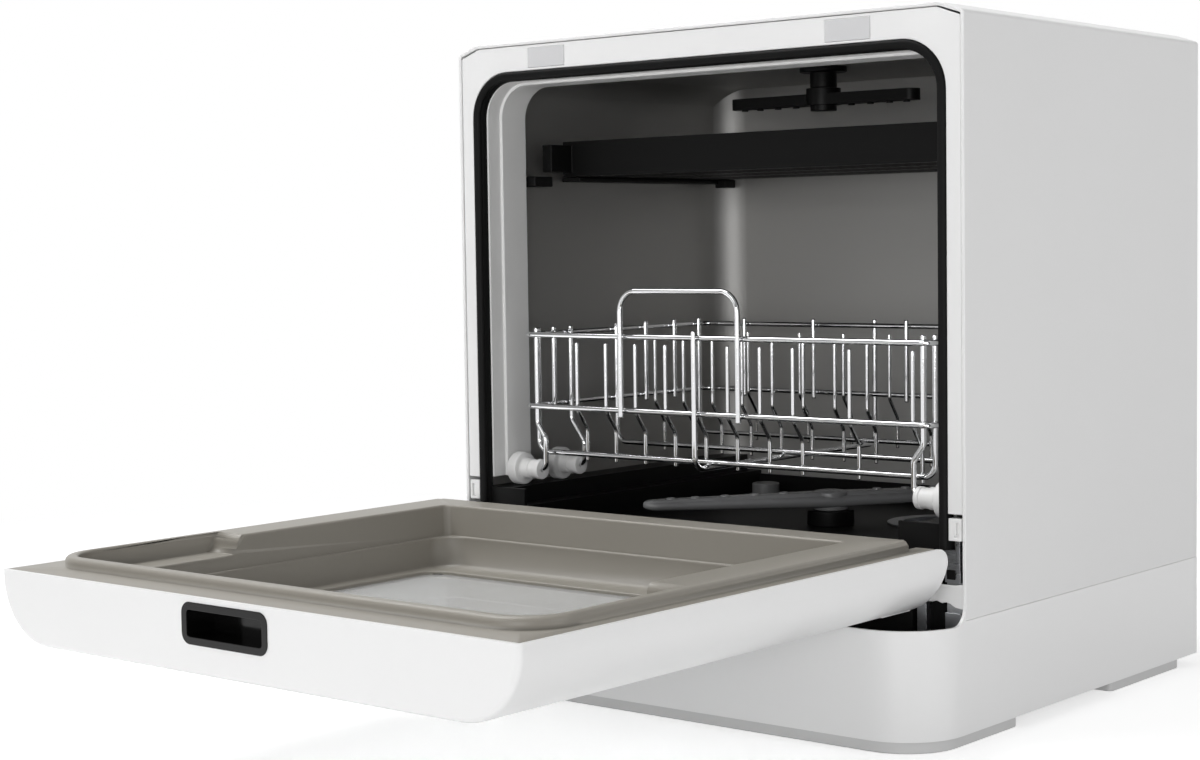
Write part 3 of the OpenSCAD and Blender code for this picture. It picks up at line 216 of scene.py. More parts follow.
softbox("front_box", (-0.5, -2.6, 1.5), (0, 0, 0.2), 2.0, 1.4, 11)
softbox("low_box", (1.6, -3.95, 0.5), (0, 0, 0.1), 2.4, 0.9, 55)
softbox("top_box", (-0.9, -0.3, 2.1), (0, -0.1, 0.2), 1.4, 1.4, 38)
softbox("right_box", (2.6, 0.3, 0.9), (0, 0.1, 0.2), 1.4, 1.4, 13.5)

# %% [markdown]
# ## Effects that several finishes share
#
# Injection-moulded plastic is never one flat colour: the mould leaves a fine grain, and the colour
# and gloss drift a little over a hand's width. Rolled steel has fine lines. Handled gloss has faint
# smudges. A convex edge gets a painted highlight, a lighter colour painted along it. Each effect is
# a node group with named sockets, built once and placed in each material with its own values.

# %% Start a node group
def effect(name, inputs, outputs):
    """An empty shader node group with (name, type, default) inputs and (name, type) outputs."""
    tree = bpy.data.node_groups.new(name, "ShaderNodeTree")
    for label, kind, default in inputs:
        socket = tree.interface.new_socket(label, in_out="INPUT", socket_type=kind)
        if default is not None:
            socket.default_value = default
    for label, kind in outputs:
        tree.interface.new_socket(label, in_out="OUTPUT", socket_type=kind)
    return tree, add(tree, "NodeGroupInput"), add(tree, "NodeGroupOutput")


VECTOR, COLOUR, NUMBER = "NodeSocketVector", "NodeSocketColor", "NodeSocketFloat"

# %% Moulded skin: drift of colour and gloss, and the mould's grain
skin, given, result = effect(
    "moulded_skin",
    [("Vector", VECTOR, None), ("Colour", COLOUR, (0.8, 0.8, 0.8, 1)),
     ("Drift", NUMBER, 0.04), ("Roughness", NUMBER, 0.4), ("Roughness Drift", NUMBER, 0.08),
     ("Grain Scale", NUMBER, 1400.0)],
    [("Colour", COLOUR), ("Roughness", NUMBER), ("Height", NUMBER)])
broad = add(skin, "ShaderNodeTexNoise", {"Scale": 11.0, "Detail": 3.0})
grain = add(skin, "ShaderNodeTexNoise", {"Detail": 2.0})
tone = add(skin, "ShaderNodeMapRange", {"To Min": -1.0, "To Max": 1.0})
shade = add(skin, "ShaderNodeMath", {2: 1.0}, operation="MULTIPLY_ADD")
tint = add(skin, "ShaderNodeHueSaturation")
gloss = add(skin, "ShaderNodeMath", operation="MULTIPLY_ADD")
join(skin, (given.outputs["Vector"], broad.inputs["Vector"]),
     (given.outputs["Vector"], grain.inputs["Vector"]),
     (given.outputs["Grain Scale"], grain.inputs["Scale"]),
     (broad.outputs["Fac"], tone.inputs["Value"]),
     (tone.outputs["Result"], shade.inputs[0]), (given.outputs["Drift"], shade.inputs[1]),
     (given.outputs["Colour"], tint.inputs["Color"]), (shade.outputs[0], tint.inputs["Value"]),
     (tone.outputs["Result"], gloss.inputs[0]),
     (given.outputs["Roughness Drift"], gloss.inputs[1]),
     (given.outputs["Roughness"], gloss.inputs[2]),
     (tint.outputs["Color"], result.inputs["Colour"]),
     (gloss.outputs[0], result.inputs["Roughness"]),
     (grain.outputs["Fac"], result.inputs["Height"]))

# %% Rolled grain: fine lines along x, as on rolled sheet steel
rolled, given, result = effect(
    "rolled_grain",
    [("Vector", VECTOR, None), ("Colour", COLOUR, (0.5, 0.5, 0.5, 1)), ("Drift", NUMBER, 0.06),
     ("Roughness", NUMBER, 0.35), ("Line Scale", NUMBER, 900.0)],
    [("Colour", COLOUR), ("Roughness", NUMBER), ("Height", NUMBER)])
stretch = add(rolled, "ShaderNodeMapping", {"Scale": (0.02, 1.0, 1.0)})
lines = add(rolled, "ShaderNodeTexNoise", {"Detail": 3.0})
cloud = add(rolled, "ShaderNodeTexNoise", {"Scale": 7.0, "Detail": 2.0})
blend_in = add(rolled, "ShaderNodeMath", operation="ADD")
tone = add(rolled, "ShaderNodeMapRange", {"From Max": 2.0, "To Min": -1.0, "To Max": 1.0})
shade = add(rolled, "ShaderNodeMath", {2: 1.0}, operation="MULTIPLY_ADD")
tint = add(rolled, "ShaderNodeHueSaturation")
gloss = add(rolled, "ShaderNodeMath", {1: 0.12}, operation="MULTIPLY_ADD")
join(rolled, (given.outputs["Vector"], stretch.inputs["Vector"]),
     (stretch.outputs[0], lines.inputs["Vector"]),
     (given.outputs["Line Scale"], lines.inputs["Scale"]),
     (given.outputs["Vector"], cloud.inputs["Vector"]),
     (lines.outputs["Fac"], blend_in.inputs[0]), (cloud.outputs["Fac"], blend_in.inputs[1]),
     (blend_in.outputs[0], tone.inputs["Value"]),
     (tone.outputs["Result"], shade.inputs[0]), (given.outputs["Drift"], shade.inputs[1]),
     (given.outputs["Colour"], tint.inputs["Color"]), (shade.outputs[0], tint.inputs["Value"]),
     (tone.outputs["Result"], gloss.inputs[0]), (given.outputs["Roughness"], gloss.inputs[2]),
     (tint.outputs["Color"], result.inputs["Colour"]),
     (gloss.outputs[0], result.inputs["Roughness"]),
     (lines.outputs["Fac"], result.inputs["Height"]))

# %% Handling: faint smudges that dull a gloss in patches
smudge, given, result = effect(
    "handling",
    [("Vector", VECTOR, None), ("Roughness", NUMBER, 0.1), ("Amount", NUMBER, 0.08),
     ("Patch Scale", NUMBER, 26.0)],
    [("Roughness", NUMBER), ("Mask", NUMBER)])
patch = add(smudge, "ShaderNodeTexNoise", {"Detail": 5.0, "Roughness": 0.65})
only = add(smudge, "ShaderNodeMapRange", {"From Min": 0.48, "From Max": 0.72})
dull = add(smudge, "ShaderNodeMath", operation="MULTIPLY_ADD")
join(smudge, (given.outputs["Vector"], patch.inputs["Vector"]),
     (given.outputs["Patch Scale"], patch.inputs["Scale"]),
     (patch.outputs["Fac"], only.inputs["Value"]), (only.outputs["Result"], dull.inputs[0]),
     (given.outputs["Amount"], dull.inputs[1]), (given.outputs["Roughness"], dull.inputs[2]),
     (dull.outputs[0], result.inputs["Roughness"]), (only.outputs["Result"], result.inputs["Mask"]))

# %% Painted edge highlight: a convex edge takes a second, lighter colour as a painted highlight
painted_sheen, given, result = effect(
    "painted_edge_sheen",
    [("Colour", COLOUR, (0.5, 0.5, 0.5, 1)), ("Edge Colour", COLOUR, (0.6, 0.6, 0.6, 1)),
     ("Amount", NUMBER, 0.4)],
    [("Colour", COLOUR)])
# Pointiness picks the convex edges, and there a lighter colour is painted as a highlight.
shape = add(painted_sheen, "ShaderNodeNewGeometry")
convex = add(painted_sheen, "ShaderNodeMapRange", {"From Min": 0.53, "From Max": 0.62})
share = add(painted_sheen, "ShaderNodeMath", operation="MULTIPLY")
paint = add(painted_sheen, "ShaderNodeMix", data_type="RGBA")
join(painted_sheen, (shape.outputs["Pointiness"], convex.inputs["Value"]),
     (convex.outputs["Result"], share.inputs[0]), (given.outputs["Amount"], share.inputs[1]),
     (share.outputs[0], paint.inputs["Factor"]), (given.outputs["Colour"], paint.inputs[6]),
     (given.outputs["Edge Colour"], paint.inputs[7]), (paint.outputs[2], result.inputs["Colour"]))
print("effects", [g.name for g in bpy.data.node_groups])

# %% [markdown]
# ## Finishes
#
# Each finish is one Principled shader. What varies over the surface comes from the effects; what is
# the same everywhere, such as metallic or coat, is typed on the shader itself. All patterns read
# Object coordinates, so they stay on the piece when it moves.

# %% A new finish with its shader and its coordinates
finish = {}


def new_finish(slot_name):
    """A material with a Principled shader and object coordinates, kept under its slot's name."""
    made = bpy.data.materials.new(slot_name)
    made.use_nodes = True
    shader = made.node_tree.nodes["Principled BSDF"]
    where = add(made.node_tree, "ShaderNodeTexCoord")
    finish[slot_name] = made
    return made.node_tree, shader, where.outputs["Object"]


def place_group(tree, group, values):
    """Put a shared effect in a material with its own values."""
    box = add(tree, "ShaderNodeGroup", node_tree=group)
    for key, value in values.items():
        box.inputs[key].default_value = value
    return box


def bump(tree, height, shader, distance):
    """Feed a height, in metres of depth, to a shader's normal."""
    relief = add(tree, "ShaderNodeBump", {"Strength": 1.0, "Distance": distance})
    join(tree, (height, relief.inputs["Height"]),
         (relief.outputs["Normal"], shader.inputs["Normal"]))


# %% Moulded plastics, rubber and painted metal
def moulded(slot_name, colour, roughness, grain_depth=0.00001, grain_scale=1400.0, drift=0.03,
            edge=None, coat=0.0, specular=0.5):
    """A moulded or painted finish. Colours are linear; edge is the colour of a painted edge
    highlight.
    """
    tree, shader, where = new_finish(slot_name)
    surface = place_group(tree, skin, {
        "Colour": (*colour, 1), "Drift": drift, "Roughness": roughness,
        "Roughness Drift": roughness * 0.12, "Grain Scale": grain_scale})
    join(tree, (where, surface.inputs["Vector"]),
         (surface.outputs["Roughness"], shader.inputs["Roughness"]))
    colour_out = surface.outputs["Colour"]
    # Painted highlight: convex edges take the lighter edge colour.
    if edge:
        sheen_box = place_group(tree, painted_sheen, {"Edge Colour": (*edge, 1), "Amount": 0.5})
        join(tree, (colour_out, sheen_box.inputs["Colour"]))
        colour_out = sheen_box.outputs["Colour"]
    join(tree, (colour_out, shader.inputs["Base Color"]))
    shader.inputs["Coat Weight"].default_value = coat
    shader.inputs["Coat Roughness"].default_value = 0.12
    shader.inputs["Specular IOR Level"].default_value = specular
    bump(tree, surface.outputs["Height"], shader, grain_depth)


moulded("white_gloss", (0.83, 0.83, 0.83), 0.30, 0.000006, drift=0.01, coat=0.15)
moulded("white_metal", (0.80, 0.80, 0.80), 0.42, 0.00003, 700.0, drift=0.015)
moulded("white_plastic", (0.84, 0.84, 0.835), 0.40, 0.00001, drift=0.015)
moulded("grey_plastic", (0.62, 0.62, 0.63), 0.45, 0.00001, drift=0.02)
moulded("foot_plastic", (0.62, 0.62, 0.62), 0.55, 0.00002, drift=0.02)
moulded("natural_plastic", (0.70, 0.69, 0.65), 0.45, drift=0.03)
# The edge colours below are painted highlights along convex edges.
moulded("black_rubber", (0.005, 0.005, 0.005), 0.55, 0.00002, 1100.0, edge=(0.015, 0.015, 0.015),
        specular=0.1)
moulded("black_plastic", (0.005, 0.005, 0.005), 0.42, 0.00002, 1100.0, edge=(0.015, 0.015, 0.015),
        specular=0.12)
moulded("dark_grey_plastic", (0.175, 0.177, 0.18), 0.26, 0.00001, 1100.0, drift=0.05,
        edge=(0.24, 0.24, 0.24))
moulded("taupe_plastic", (0.262, 0.245, 0.213), 0.42, 0.000015, 1200.0, drift=0.03,
        edge=(0.36, 0.34, 0.30))
moulded("board_green", (0.02, 0.10, 0.035), 0.45, 0.00004, 420.0, drift=0.2)
moulded("magnet_dark", (0.06, 0.06, 0.065), 0.5, 0.00003, 800.0, drift=0.1)

# %% Steel sheet, plated steel and chrome
def sheet_metal(slot_name, colour, roughness, line_depth, line_scale=900.0, drift=0.06):
    """A rolled or plated metal finish with fine lines."""
    tree, shader, where = new_finish(slot_name)
    surface = place_group(tree, rolled, {
        "Colour": (*colour, 1), "Drift": drift, "Roughness": roughness, "Line Scale": line_scale})
    join(tree, (where, surface.inputs["Vector"]),
         (surface.outputs["Colour"], shader.inputs["Base Color"]),
         (surface.outputs["Roughness"], shader.inputs["Roughness"]))
    shader.inputs["Metallic"].default_value = 1.0
    bump(tree, surface.outputs["Height"], shader, line_depth)


sheet_metal("stainless", (0.45, 0.445, 0.435), 0.58, 0.000006)
sheet_metal("zinc_steel", (0.52, 0.53, 0.55), 0.30, 0.000008, 1300.0, 0.1)
sheet_metal("motor_metal", (0.55, 0.56, 0.58), 0.38, 0.00001, 1100.0, 0.08)
sheet_metal("chrome_wire", (0.82, 0.825, 0.835), 0.07, 0.000001, 500.0, 0.03)

# %% Gloss black and window glass
# Seen head-on the window is clear. Seen along its surface, a thin haze takes the light.
tree, shader, where = new_finish("black_gloss")
touched = place_group(tree, smudge, {"Roughness": 0.10, "Amount": 0.10, "Patch Scale": 40.0})
skin_box = place_group(tree, skin, {"Colour": (0.003, 0.003, 0.003, 1), "Drift": 0.15})
join(tree, (where, touched.inputs["Vector"]), (where, skin_box.inputs["Vector"]),
     (touched.outputs["Roughness"], shader.inputs["Roughness"]),
     (skin_box.outputs["Colour"], shader.inputs["Base Color"]))
shader.inputs["Specular IOR Level"].default_value = 0.3

tree, shader, where = new_finish("clear_glass")
touched = place_group(tree, smudge, {"Roughness": 0.02, "Amount": 0.05, "Patch Scale": 18.0})
skin_box = place_group(tree, skin, {"Colour": (0.97, 0.98, 0.98, 1), "Drift": 0.01})
join(tree, (where, touched.inputs["Vector"]), (where, skin_box.inputs["Vector"]),
     (touched.outputs["Roughness"], shader.inputs["Roughness"]),
     (skin_box.outputs["Colour"], shader.inputs["Base Color"]))
slant = add(tree, "ShaderNodeLayerWeight", {"Blend": 0.5})
clear = add(tree, "ShaderNodeMapRange", {"From Min": 0.45, "From Max": 0.92, "To Min": 0.97,
                                         "To Max": 0.52})
join(tree, (slant.outputs["Facing"], clear.inputs["Value"]),
     (clear.outputs["Result"], shader.inputs["Transmission Weight"]))
shader.inputs["IOR"].default_value = 1.46
print("finishes", sorted(finish))

# %% [markdown]
# ## Every node gets its finish
#
# The record says which finish each node of the solid model has. Pieces whose shape is already right
# keep their solid and only take the finish. The cells after this one rebuild or soften the others.

# %% Finishes on the solid model
slot_of = {part["node"]: part["material_slot"] for part in frame["record"]["subparts"]}
body_of = {name: body for body, names in frame["record"]["behaviour"]["bodies"].items()
           for name in names}
for name, solid in nodes.items():
    for place in solid.material_slots:
        place.link = "OBJECT"
        place.material = finish[slot_of[name]]
print("finished nodes", len(slot_of))

# %% [markdown]
# ## Helpers for making pieces
#
# A piece is modelled in a bmesh, in millimetres of the machine. When it is done, its doubles are
# merged, its faces turned outwards, and it is moved into the shared frame. Edges sharper than the
# given angle stay crisp, and a Weighted Normal modifier keeps flat faces flat beside round edges.

# %% Finish a piece
def finish_piece(bm, name, node, crisp=50):
    """Turn a bmesh into a shown piece that stands for a CAD node and rides with its body."""
    bmesh.ops.remove_doubles(bm, verts=bm.verts, dist=0.002)
    bmesh.ops.recalc_face_normals(bm, faces=bm.faces)
    bmesh.ops.transform(bm, matrix=to_frame, verts=bm.verts)
    mesh = bpy.data.meshes.new(name)
    bm.to_mesh(mesh)
    bm.free()
    mesh.polygons.foreach_set("use_smooth", [True] * len(mesh.polygons))
    mesh.set_sharp_from_angle(angle=math.radians(crisp))
    piece = bpy.data.objects.new(name, mesh)
    scene.collection.objects.link(piece)
    mesh.materials.append(finish[slot_of[node]])
    even = piece.modifiers.new("even_shading", "WEIGHTED_NORMAL")
    even.keep_sharp = True
    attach(piece, body_of[node])
    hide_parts(node)
    return piece


# %% Copy a solid and round its edges
def copy_solid(node):
    """A merged copy of a CAD node in machine millimetres, with its flat faces made whole."""
    bm = bmesh.new()
    bm.from_mesh(nodes[node].data)
    bmesh.ops.transform(bm, matrix=to_machine, verts=bm.verts)
    bmesh.ops.remove_doubles(bm, verts=bm.verts, dist=0.004)
    bmesh.ops.dissolve_limit(bm, angle_limit=math.radians(0.5), verts=bm.verts, edges=bm.edges,
                             use_dissolve_boundaries=False, delimit=set())
    return bm


def split_rings(bm):
    """Cut many-sided faces into triangles. A flat ring is one face that runs round its hole, and
    it can close over the hole when its edges are rounded."""
    rings = [f for f in bm.faces if len(f.verts) > 12]
    bmesh.ops.triangulate(bm, faces=rings, quad_method="BEAUTY", ngon_method="BEAUTY")


def round_edges(bm, radius, segments=3, sharper=35, where=None, clamp=True, convex=None):
    """Bevel each edge sharper than an angle whose middle passes the test.

    With clamp, the shortest picked edge limits the radius everywhere. Where an arc is made of many
    short edges, that would undo the rounding, so such pieces are rounded with clamp off."""
    picked = []
    for edge in bm.edges:
        if len(edge.link_faces) == 2 and edge.calc_face_angle() > math.radians(sharper):
            middle = (edge.verts[0].co + edge.verts[1].co) / 2
            if (where is None or where(middle)) and convex in (None, edge.is_convex):
                picked.append(edge)
    bmesh.ops.bevel(bm, geom=picked, offset=radius, offset_type="OFFSET", segments=segments,
                    profile=0.5, affect="EDGES", clamp_overlap=clamp, material=-1, loop_slide=True)
    return len(picked)


def soften(node, radius, segments=2, crisp=50, clamp=True):
    """The usual treatment of a moulded solid: one small radius on all its edges."""
    bm = copy_solid(node)
    if not clamp:
        split_rings(bm)
    count = round_edges(bm, radius, segments, clamp=clamp)
    piece = finish_piece(bm, node + "_soft", node, crisp)
    print(piece.name, "edges", count, "faces", len(piece.data.polygons))
    return piece


# %% [markdown]
# ## The casing
#
# One sheet wraps over the top and down both sides, with a long shallow chamfer along each top edge.
# A sheet is easiest made as a sheet: its outline is drawn as a wire, pulled back to the rear edge,
# rounded along the folds, and only then given its thickness.

# %% Casing
def draw_wire(bm, points):
    """Vertices joined by edges, in order."""
    verts = [bm.verts.new(p) for p in points]
    return [bm.edges.new(pair) for pair in zip(verts, verts[1:])]


def pull(bm, edges, by):
    """Extrude a wire of edges and return the edges at its new end."""
    made = bmesh.ops.extrude_edge_only(bm, edges=edges)["geom"]
    fresh = [g for g in made if isinstance(g, bmesh.types.BMVert)]
    bmesh.ops.translate(bm, vec=by, verts=fresh)
    fresh = set(fresh)
    return [g for g in made if isinstance(g, bmesh.types.BMEdge) and set(g.verts) <= fresh]


bm = bmesh.new()
half, top, seam, depth = 210.0, 456.0, 78.5, 327.0
outline = draw_wire(bm, [(-half, 0, seam), (-half, 0, top - 6), (-half + 17.5, 0, top),
                         (half - 17.5, 0, top), (half, 0, top - 6), (half, 0, seam)])
pull(bm, outline, (0, depth, 0))
folds = [e for e in bm.edges if len(e.link_faces) == 2]
bmesh.ops.bevel(bm, geom=folds, offset=2.2, offset_type="OFFSET", segments=4, profile=0.5,
                affect="EDGES", clamp_overlap=True, material=-1)
bmesh.ops.recalc_face_normals(bm, faces=bm.faces)
if sum(f.normal.z * f.calc_area() for f in bm.faces) < 0:
    bmesh.ops.reverse_faces(bm, faces=bm.faces)
bmesh.ops.solidify(bm, geom=bm.faces, thickness=2.5)
round_edges(bm, 0.7, 3, 60)
casing = finish_piece(bm, "casing_shell", "outer_casing")
print(casing.name, [round(v, 4) for v in casing.dimensions])

# %% [markdown]
# ## Bezel, tub frame, base and feet
#
# These are mouldings with many straight edges. The solid already has the shape, so a merged copy
# gets the small radius that every mould leaves. A radius costs little, and without the thin light
# line that it draws along each edge, a render looks like cut card.

# %% Soft copies of the cabinet's mouldings
soften("front_bezel", 0.6, clamp=False)
soften("catch_pads", 0.5)
soften("tub_front_frame", 0.8, 3, clamp=False)
soften("base_housing", 0.8, 3)
soften("feet", 1.2, 3)
soften("rear_panel", 0.4)

# %% [markdown]
# ## The tub and what stands in it
#
# The tub is folded from satin steel sheet, with round corners between its walls. The basin under it
# is one black moulding that also carries the tracks for the rack's rollers.

# %% Tub, basin, tray and holder
soften("tub_liner", 0.3, 2, crisp=40)
soften("sump_basin", 1.2, 3)
soften("hinge_well", 0.5, clamp=False)
soften("upper_tray", 0.6, 2, clamp=False)
soften("tray_rails", 0.8, 2)
soften("upper_arm_holder", 0.8, 2)
soften("lower_arm_post", 0.8, 2)
soften("level_float", 1.0, 2)
soften("filter_basket", 0.4, 2)

# %% [markdown]
# ## The gasket
#
# The door closes on a soft black bead that runs up one side of the mouth, round two corners and
# down the other side. Its cross-section stays the same, so it is drawn once and swept: pulled along
# the straight parts and spun round the corners.

# %% Sweep helpers
def spin(bm, edges, centre, axis, degrees, steps):
    """Spin a wire of edges round an axis and return the edges at its new end."""
    made = bmesh.ops.spin(bm, geom=edges, cent=centre, axis=axis, dvec=(0, 0, 0),
                          angle=math.radians(degrees), space=Matrix.Identity(4), steps=steps,
                          use_merge=False, use_normal_flip=False, use_duplicate=False)
    return [g for g in made["geom_last"] if isinstance(g, bmesh.types.BMEdge)]


def turn_on_lathe(bm, profile, centre, axis=(1, 0, 0), steps=40):
    """Spin a closed profile of (height along the axis, radius) points round an axle."""
    along, out = Vector(axis), Vector((0, 0, 1) if axis[0] else (0, 1, 0))
    wire = draw_wire(bm, [Vector(centre) + along * h + out * r for h, r in profile])
    wire.append(bm.edges.new((wire[-1].verts[1], wire[0].verts[0])))
    bmesh.ops.spin(bm, geom=wire, cent=centre, axis=axis, dvec=(0, 0, 0), angle=math.tau,
                   space=Matrix.Identity(4), steps=steps, use_merge=True, use_duplicate=False)


# %% Gasket
bm = bmesh.new()
bead_out, bead_in, bead_top, bend = -196.85, -190.55, 435.15, 31.85
front, back, low = -0.6, 8.0, 121.0
section = [(bead_out, back), (bead_out, 1.2), (bead_out + 0.7, -0.1), (bead_out + 2.1, front),
           (bead_in - 2.1, front), (bead_in - 0.7, -0.1), (bead_in, 1.4), (bead_in - 0.5, 2.9),
           (bead_in - 1.1, 3.5), (bead_in - 0.4, 4.2), (bead_in, 5.4), (bead_in, back)]
ring = draw_wire(bm, [(x, y, low) for x, y in section])
ring.append(bm.edges.new((ring[-1].verts[1], ring[0].verts[0])))
bmesh.ops.edgeloop_fill(bm, edges=ring)
leg = bead_top - bend - low
ring = pull(bm, ring, (0, 0, leg))
ring = spin(bm, ring, (bead_out + bend, 0, bead_top - bend), (0, 1, 0), 90, 14)
ring = pull(bm, ring, (-2 * (bead_out + bend), 0, 0))
ring = spin(bm, ring, (-bead_out - bend, 0, bead_top - bend), (0, 1, 0), 90, 14)
ring = pull(bm, ring, (0, 0, -leg))
bmesh.ops.edgeloop_fill(bm, edges=ring)
gasket = finish_piece(bm, "gasket_bead", "door_gasket", crisp=60)
print(gasket.name, [round(v, 4) for v in gasket.dimensions])

# %% [markdown]
# ## The door
#
# The open door lies flat: a white outer shell below, a taupe liner above. The shell's long edges
# are generous curves, and its free end has a smaller radius all round. The liner is one deep
# moulding with a raised rim, ledges for the rollers and a basin round the window, so its radii are
# larger than on the cabinet.

# %% Door shell
free_end = -402.0
bm = copy_solid("door_panel")
handle_x, handle_z, door_face = -6.0, 110.8, 125.5
round_edges(bm, 3.0, 5, 30, lambda p: abs(p.y - free_end) < 0.05 and p.z < door_face - 0.2
            and (abs(p.x - handle_x) > 40 or abs(p.z - handle_z) > 14))
round_edges(bm, 0.6, 2, 40)
shell = finish_piece(bm, "door_shell", "door_panel", crisp=45)
print(shell.name, len(shell.data.polygons))

# %% Door liner
def depth_in_rim(p, half=195.5, y0=-380.0, y1=-42.0, corner=30.0):
    """How far a point lies inside the rim's outline, a rectangle with round corners."""
    beyond = Vector((max(abs(p.x) - half + corner, 0),
                     max(y0 + corner - p.y, p.y - y1 + corner, 0)))
    return corner - beyond.length


bm = copy_solid("door_liner")
split_rings(bm)
rim_top, glass_seat, ledge, pockets = 132.0, 92.0, 120.0, -50.0
outer = round_edges(bm, 3.4, 5, where=lambda p: p.z > rim_top - 0.1 and p.y < pockets
                    and depth_in_rim(p) < 1, clamp=False)
inner = round_edges(bm, 1.8, 4, where=lambda p: p.z > rim_top - 0.1 and p.y < pockets
                    and depth_in_rim(p) > 4, clamp=False)
steps = round_edges(bm, 1.3, 3, where=lambda p: glass_seat - 1 < p.z < ledge + 0.2
                    and p.y < pockets and depth_in_rim(p) > 4, clamp=False, convex=True)
liner = finish_piece(bm, "door_liner_soft", "door_liner")
print(liner.name, "edges", outer, inner, steps, "faces", len(liner.data.polygons))

# %% Glass, seal, touch strip and handle cup
soften("inner_glass", 0.5, 2)
soften("outer_glass", 0.3, 2)
soften("window_seal", 0.3, 2)
soften("touch_strip", 0.2, 2)
bm = copy_solid("handle_cup")
round_edges(bm, 1.5, 4, 40, lambda p: p.y < free_end + 0.5)
round_edges(bm, 0.5, 2, 40)
finish_piece(bm, "handle_cup_soft", "handle_cup")

# %% [markdown]
# ## Hinges
#
# Steel straps stand behind the bezel, a white arm reaches out to the door's pin on each side, and a
# small cover closes the gasket's end.

# %% Hinges
for name, radius in (("hinge_arms", 0.7), ("hinge_brackets", 0.4), ("hinge_buffers", 0.8),
                     ("hinge_covers", 0.6), ("hinge_links", 0.2), ("hinge_pins", 0.3)):
    soften(name, radius)

# %% [markdown]
# ## Spray arms
#
# Both arms are hollow blades with small nozzles. The lower one is dark grey. Its blade is drawn as
# one cross-section with a shoulder below a raised middle, and pulled out to the tip while it is
# scaled: narrower and thinner all the way, then quickly smaller round the tip. Each nozzle is a
# small turned ring. The upper arm is black.

# %% Lower spray arm
half_section = [(0.0, -1.0), (0.55, -1.0), (0.84, -0.86), (0.97, -0.55), (1.0, -0.1),
                (0.96, 0.22), (0.84, 0.42), (0.70, 0.50), (0.63, 0.56), (0.60, 0.78),
                (0.53, 0.93), (0.40, 1.0)]
section = half_section + [(-u, v) for u, v in reversed(half_section) if u]
arm_centre, reach, root, tip, arm_turn = Vector((8.0, 153.0, 0.0)), 140.0, 15.0, 10.0, 53.0
stations = [(x, root + (tip - root) * x / (reach - tip))
            for x in (14, 40, 70, 100, 122, reach - tip)]
stations += [(reach - tip + tip * math.sin(math.radians(a)), tip * math.cos(math.radians(a)))
             for a in (15, 30, 45, 58, 70, 80, 87)]


def blade_heights(x):
    """Underside and top of the blade at a distance from its hub."""
    share = x / reach
    return 119.7 + 3.0 * share, 131.0 - 1.2 * share


bm = bmesh.new()
for half_turn in (0, 180):
    low, high = blade_heights(0)
    centre, size = Vector((0, 0, (low + high) / 2)), Vector((root, (high - low) / 2))
    ring = draw_wire(bm, [centre + Vector((0, u * size.x, v * size.y)) for u, v in section])
    ring.append(bm.edges.new((ring[-1].verts[1], ring[0].verts[0])))
    blade = {v for e in ring for v in e.verts}
    for x, half_width in stations:
        low, high = blade_heights(x)
        round_off = min(1.0, (half_width / tip) ** 0.6)
        middle = Vector((x, 0, (low + high) / 2))
        wanted = Vector((half_width, (high - low) / 2 * round_off))
        ring = pull(bm, ring, middle - centre)
        verts = list({v for e in ring for v in e.verts})
        blade |= set(verts)
        bmesh.ops.scale(bm, vec=(1, wanted.x / size.x, wanted.y / size.y), verts=verts,
                        space=Matrix.Translation(-middle))
        centre, size = middle, wanted
    bmesh.ops.edgeloop_fill(bm, edges=ring)
    for x in (36, 58, 80, 102, 120):
        before = set(bm.verts)
        top = blade_heights(x)[1]
        turn_on_lathe(bm, [(-0.8, 1.5), (0.7, 1.5), (1.1, 1.9),
                           (1.1, 2.7), (0.8, 3.3), (-0.8, 3.4)],
                      (x, 1.5, top), (0, 0, 1), 20)
        blade |= set(bm.verts) - before
    bmesh.ops.rotate(bm, verts=list(blade), cent=(0, 0, 0),
                     matrix=Matrix.Rotation(math.radians(half_turn), 3, "Z"))
turn_on_lathe(bm, [(117.7, 4.1), (117.7, 12.4), (118.4, 13.0), (129.6, 13.0), (130.6, 12.5),
                   (131.3, 11.0), (131.8, 8.0), (132.1, 4.0), (132.2, 0.0), (131.7, 0.0),
                   (131.7, 4.1)],
              (0, 0, 0), (0, 0, 1), 48)
bmesh.ops.rotate(bm, verts=bm.verts, cent=(0, 0, 0),
                 matrix=Matrix.Rotation(math.radians(arm_turn), 3, "Z"))
bmesh.ops.translate(bm, verts=bm.verts, vec=arm_centre)
lower_arm = finish_piece(bm, "lower_arm_blade", "lower_spray_arm")
print(lower_arm.name, [round(v, 4) for v in lower_arm.dimensions])

# %% Upper spray arm
soften("upper_spray_arm", 1.2, 3)

# %% [markdown]
# ## The rack's wires
#
# A wire rack is bent and welded from round wire. A tube is made the way the wire is bent: a small
# disc is pushed along each straight run and spun round each bend. The cut tips are domed, and a
# small bead marks each weld.

# %% Bend a wire
def push(bm, ring, by, scale):
    """Pull a ring of edges along, and scale it about its new centre."""
    ring = pull(bm, ring, by)
    verts = list({v for e in ring for v in e.verts})
    centre = sum((v.co for v in verts), Vector()) / len(verts)
    bmesh.ops.scale(bm, vec=(scale, scale, scale), space=Matrix.Translation(-centre), verts=verts)
    return ring


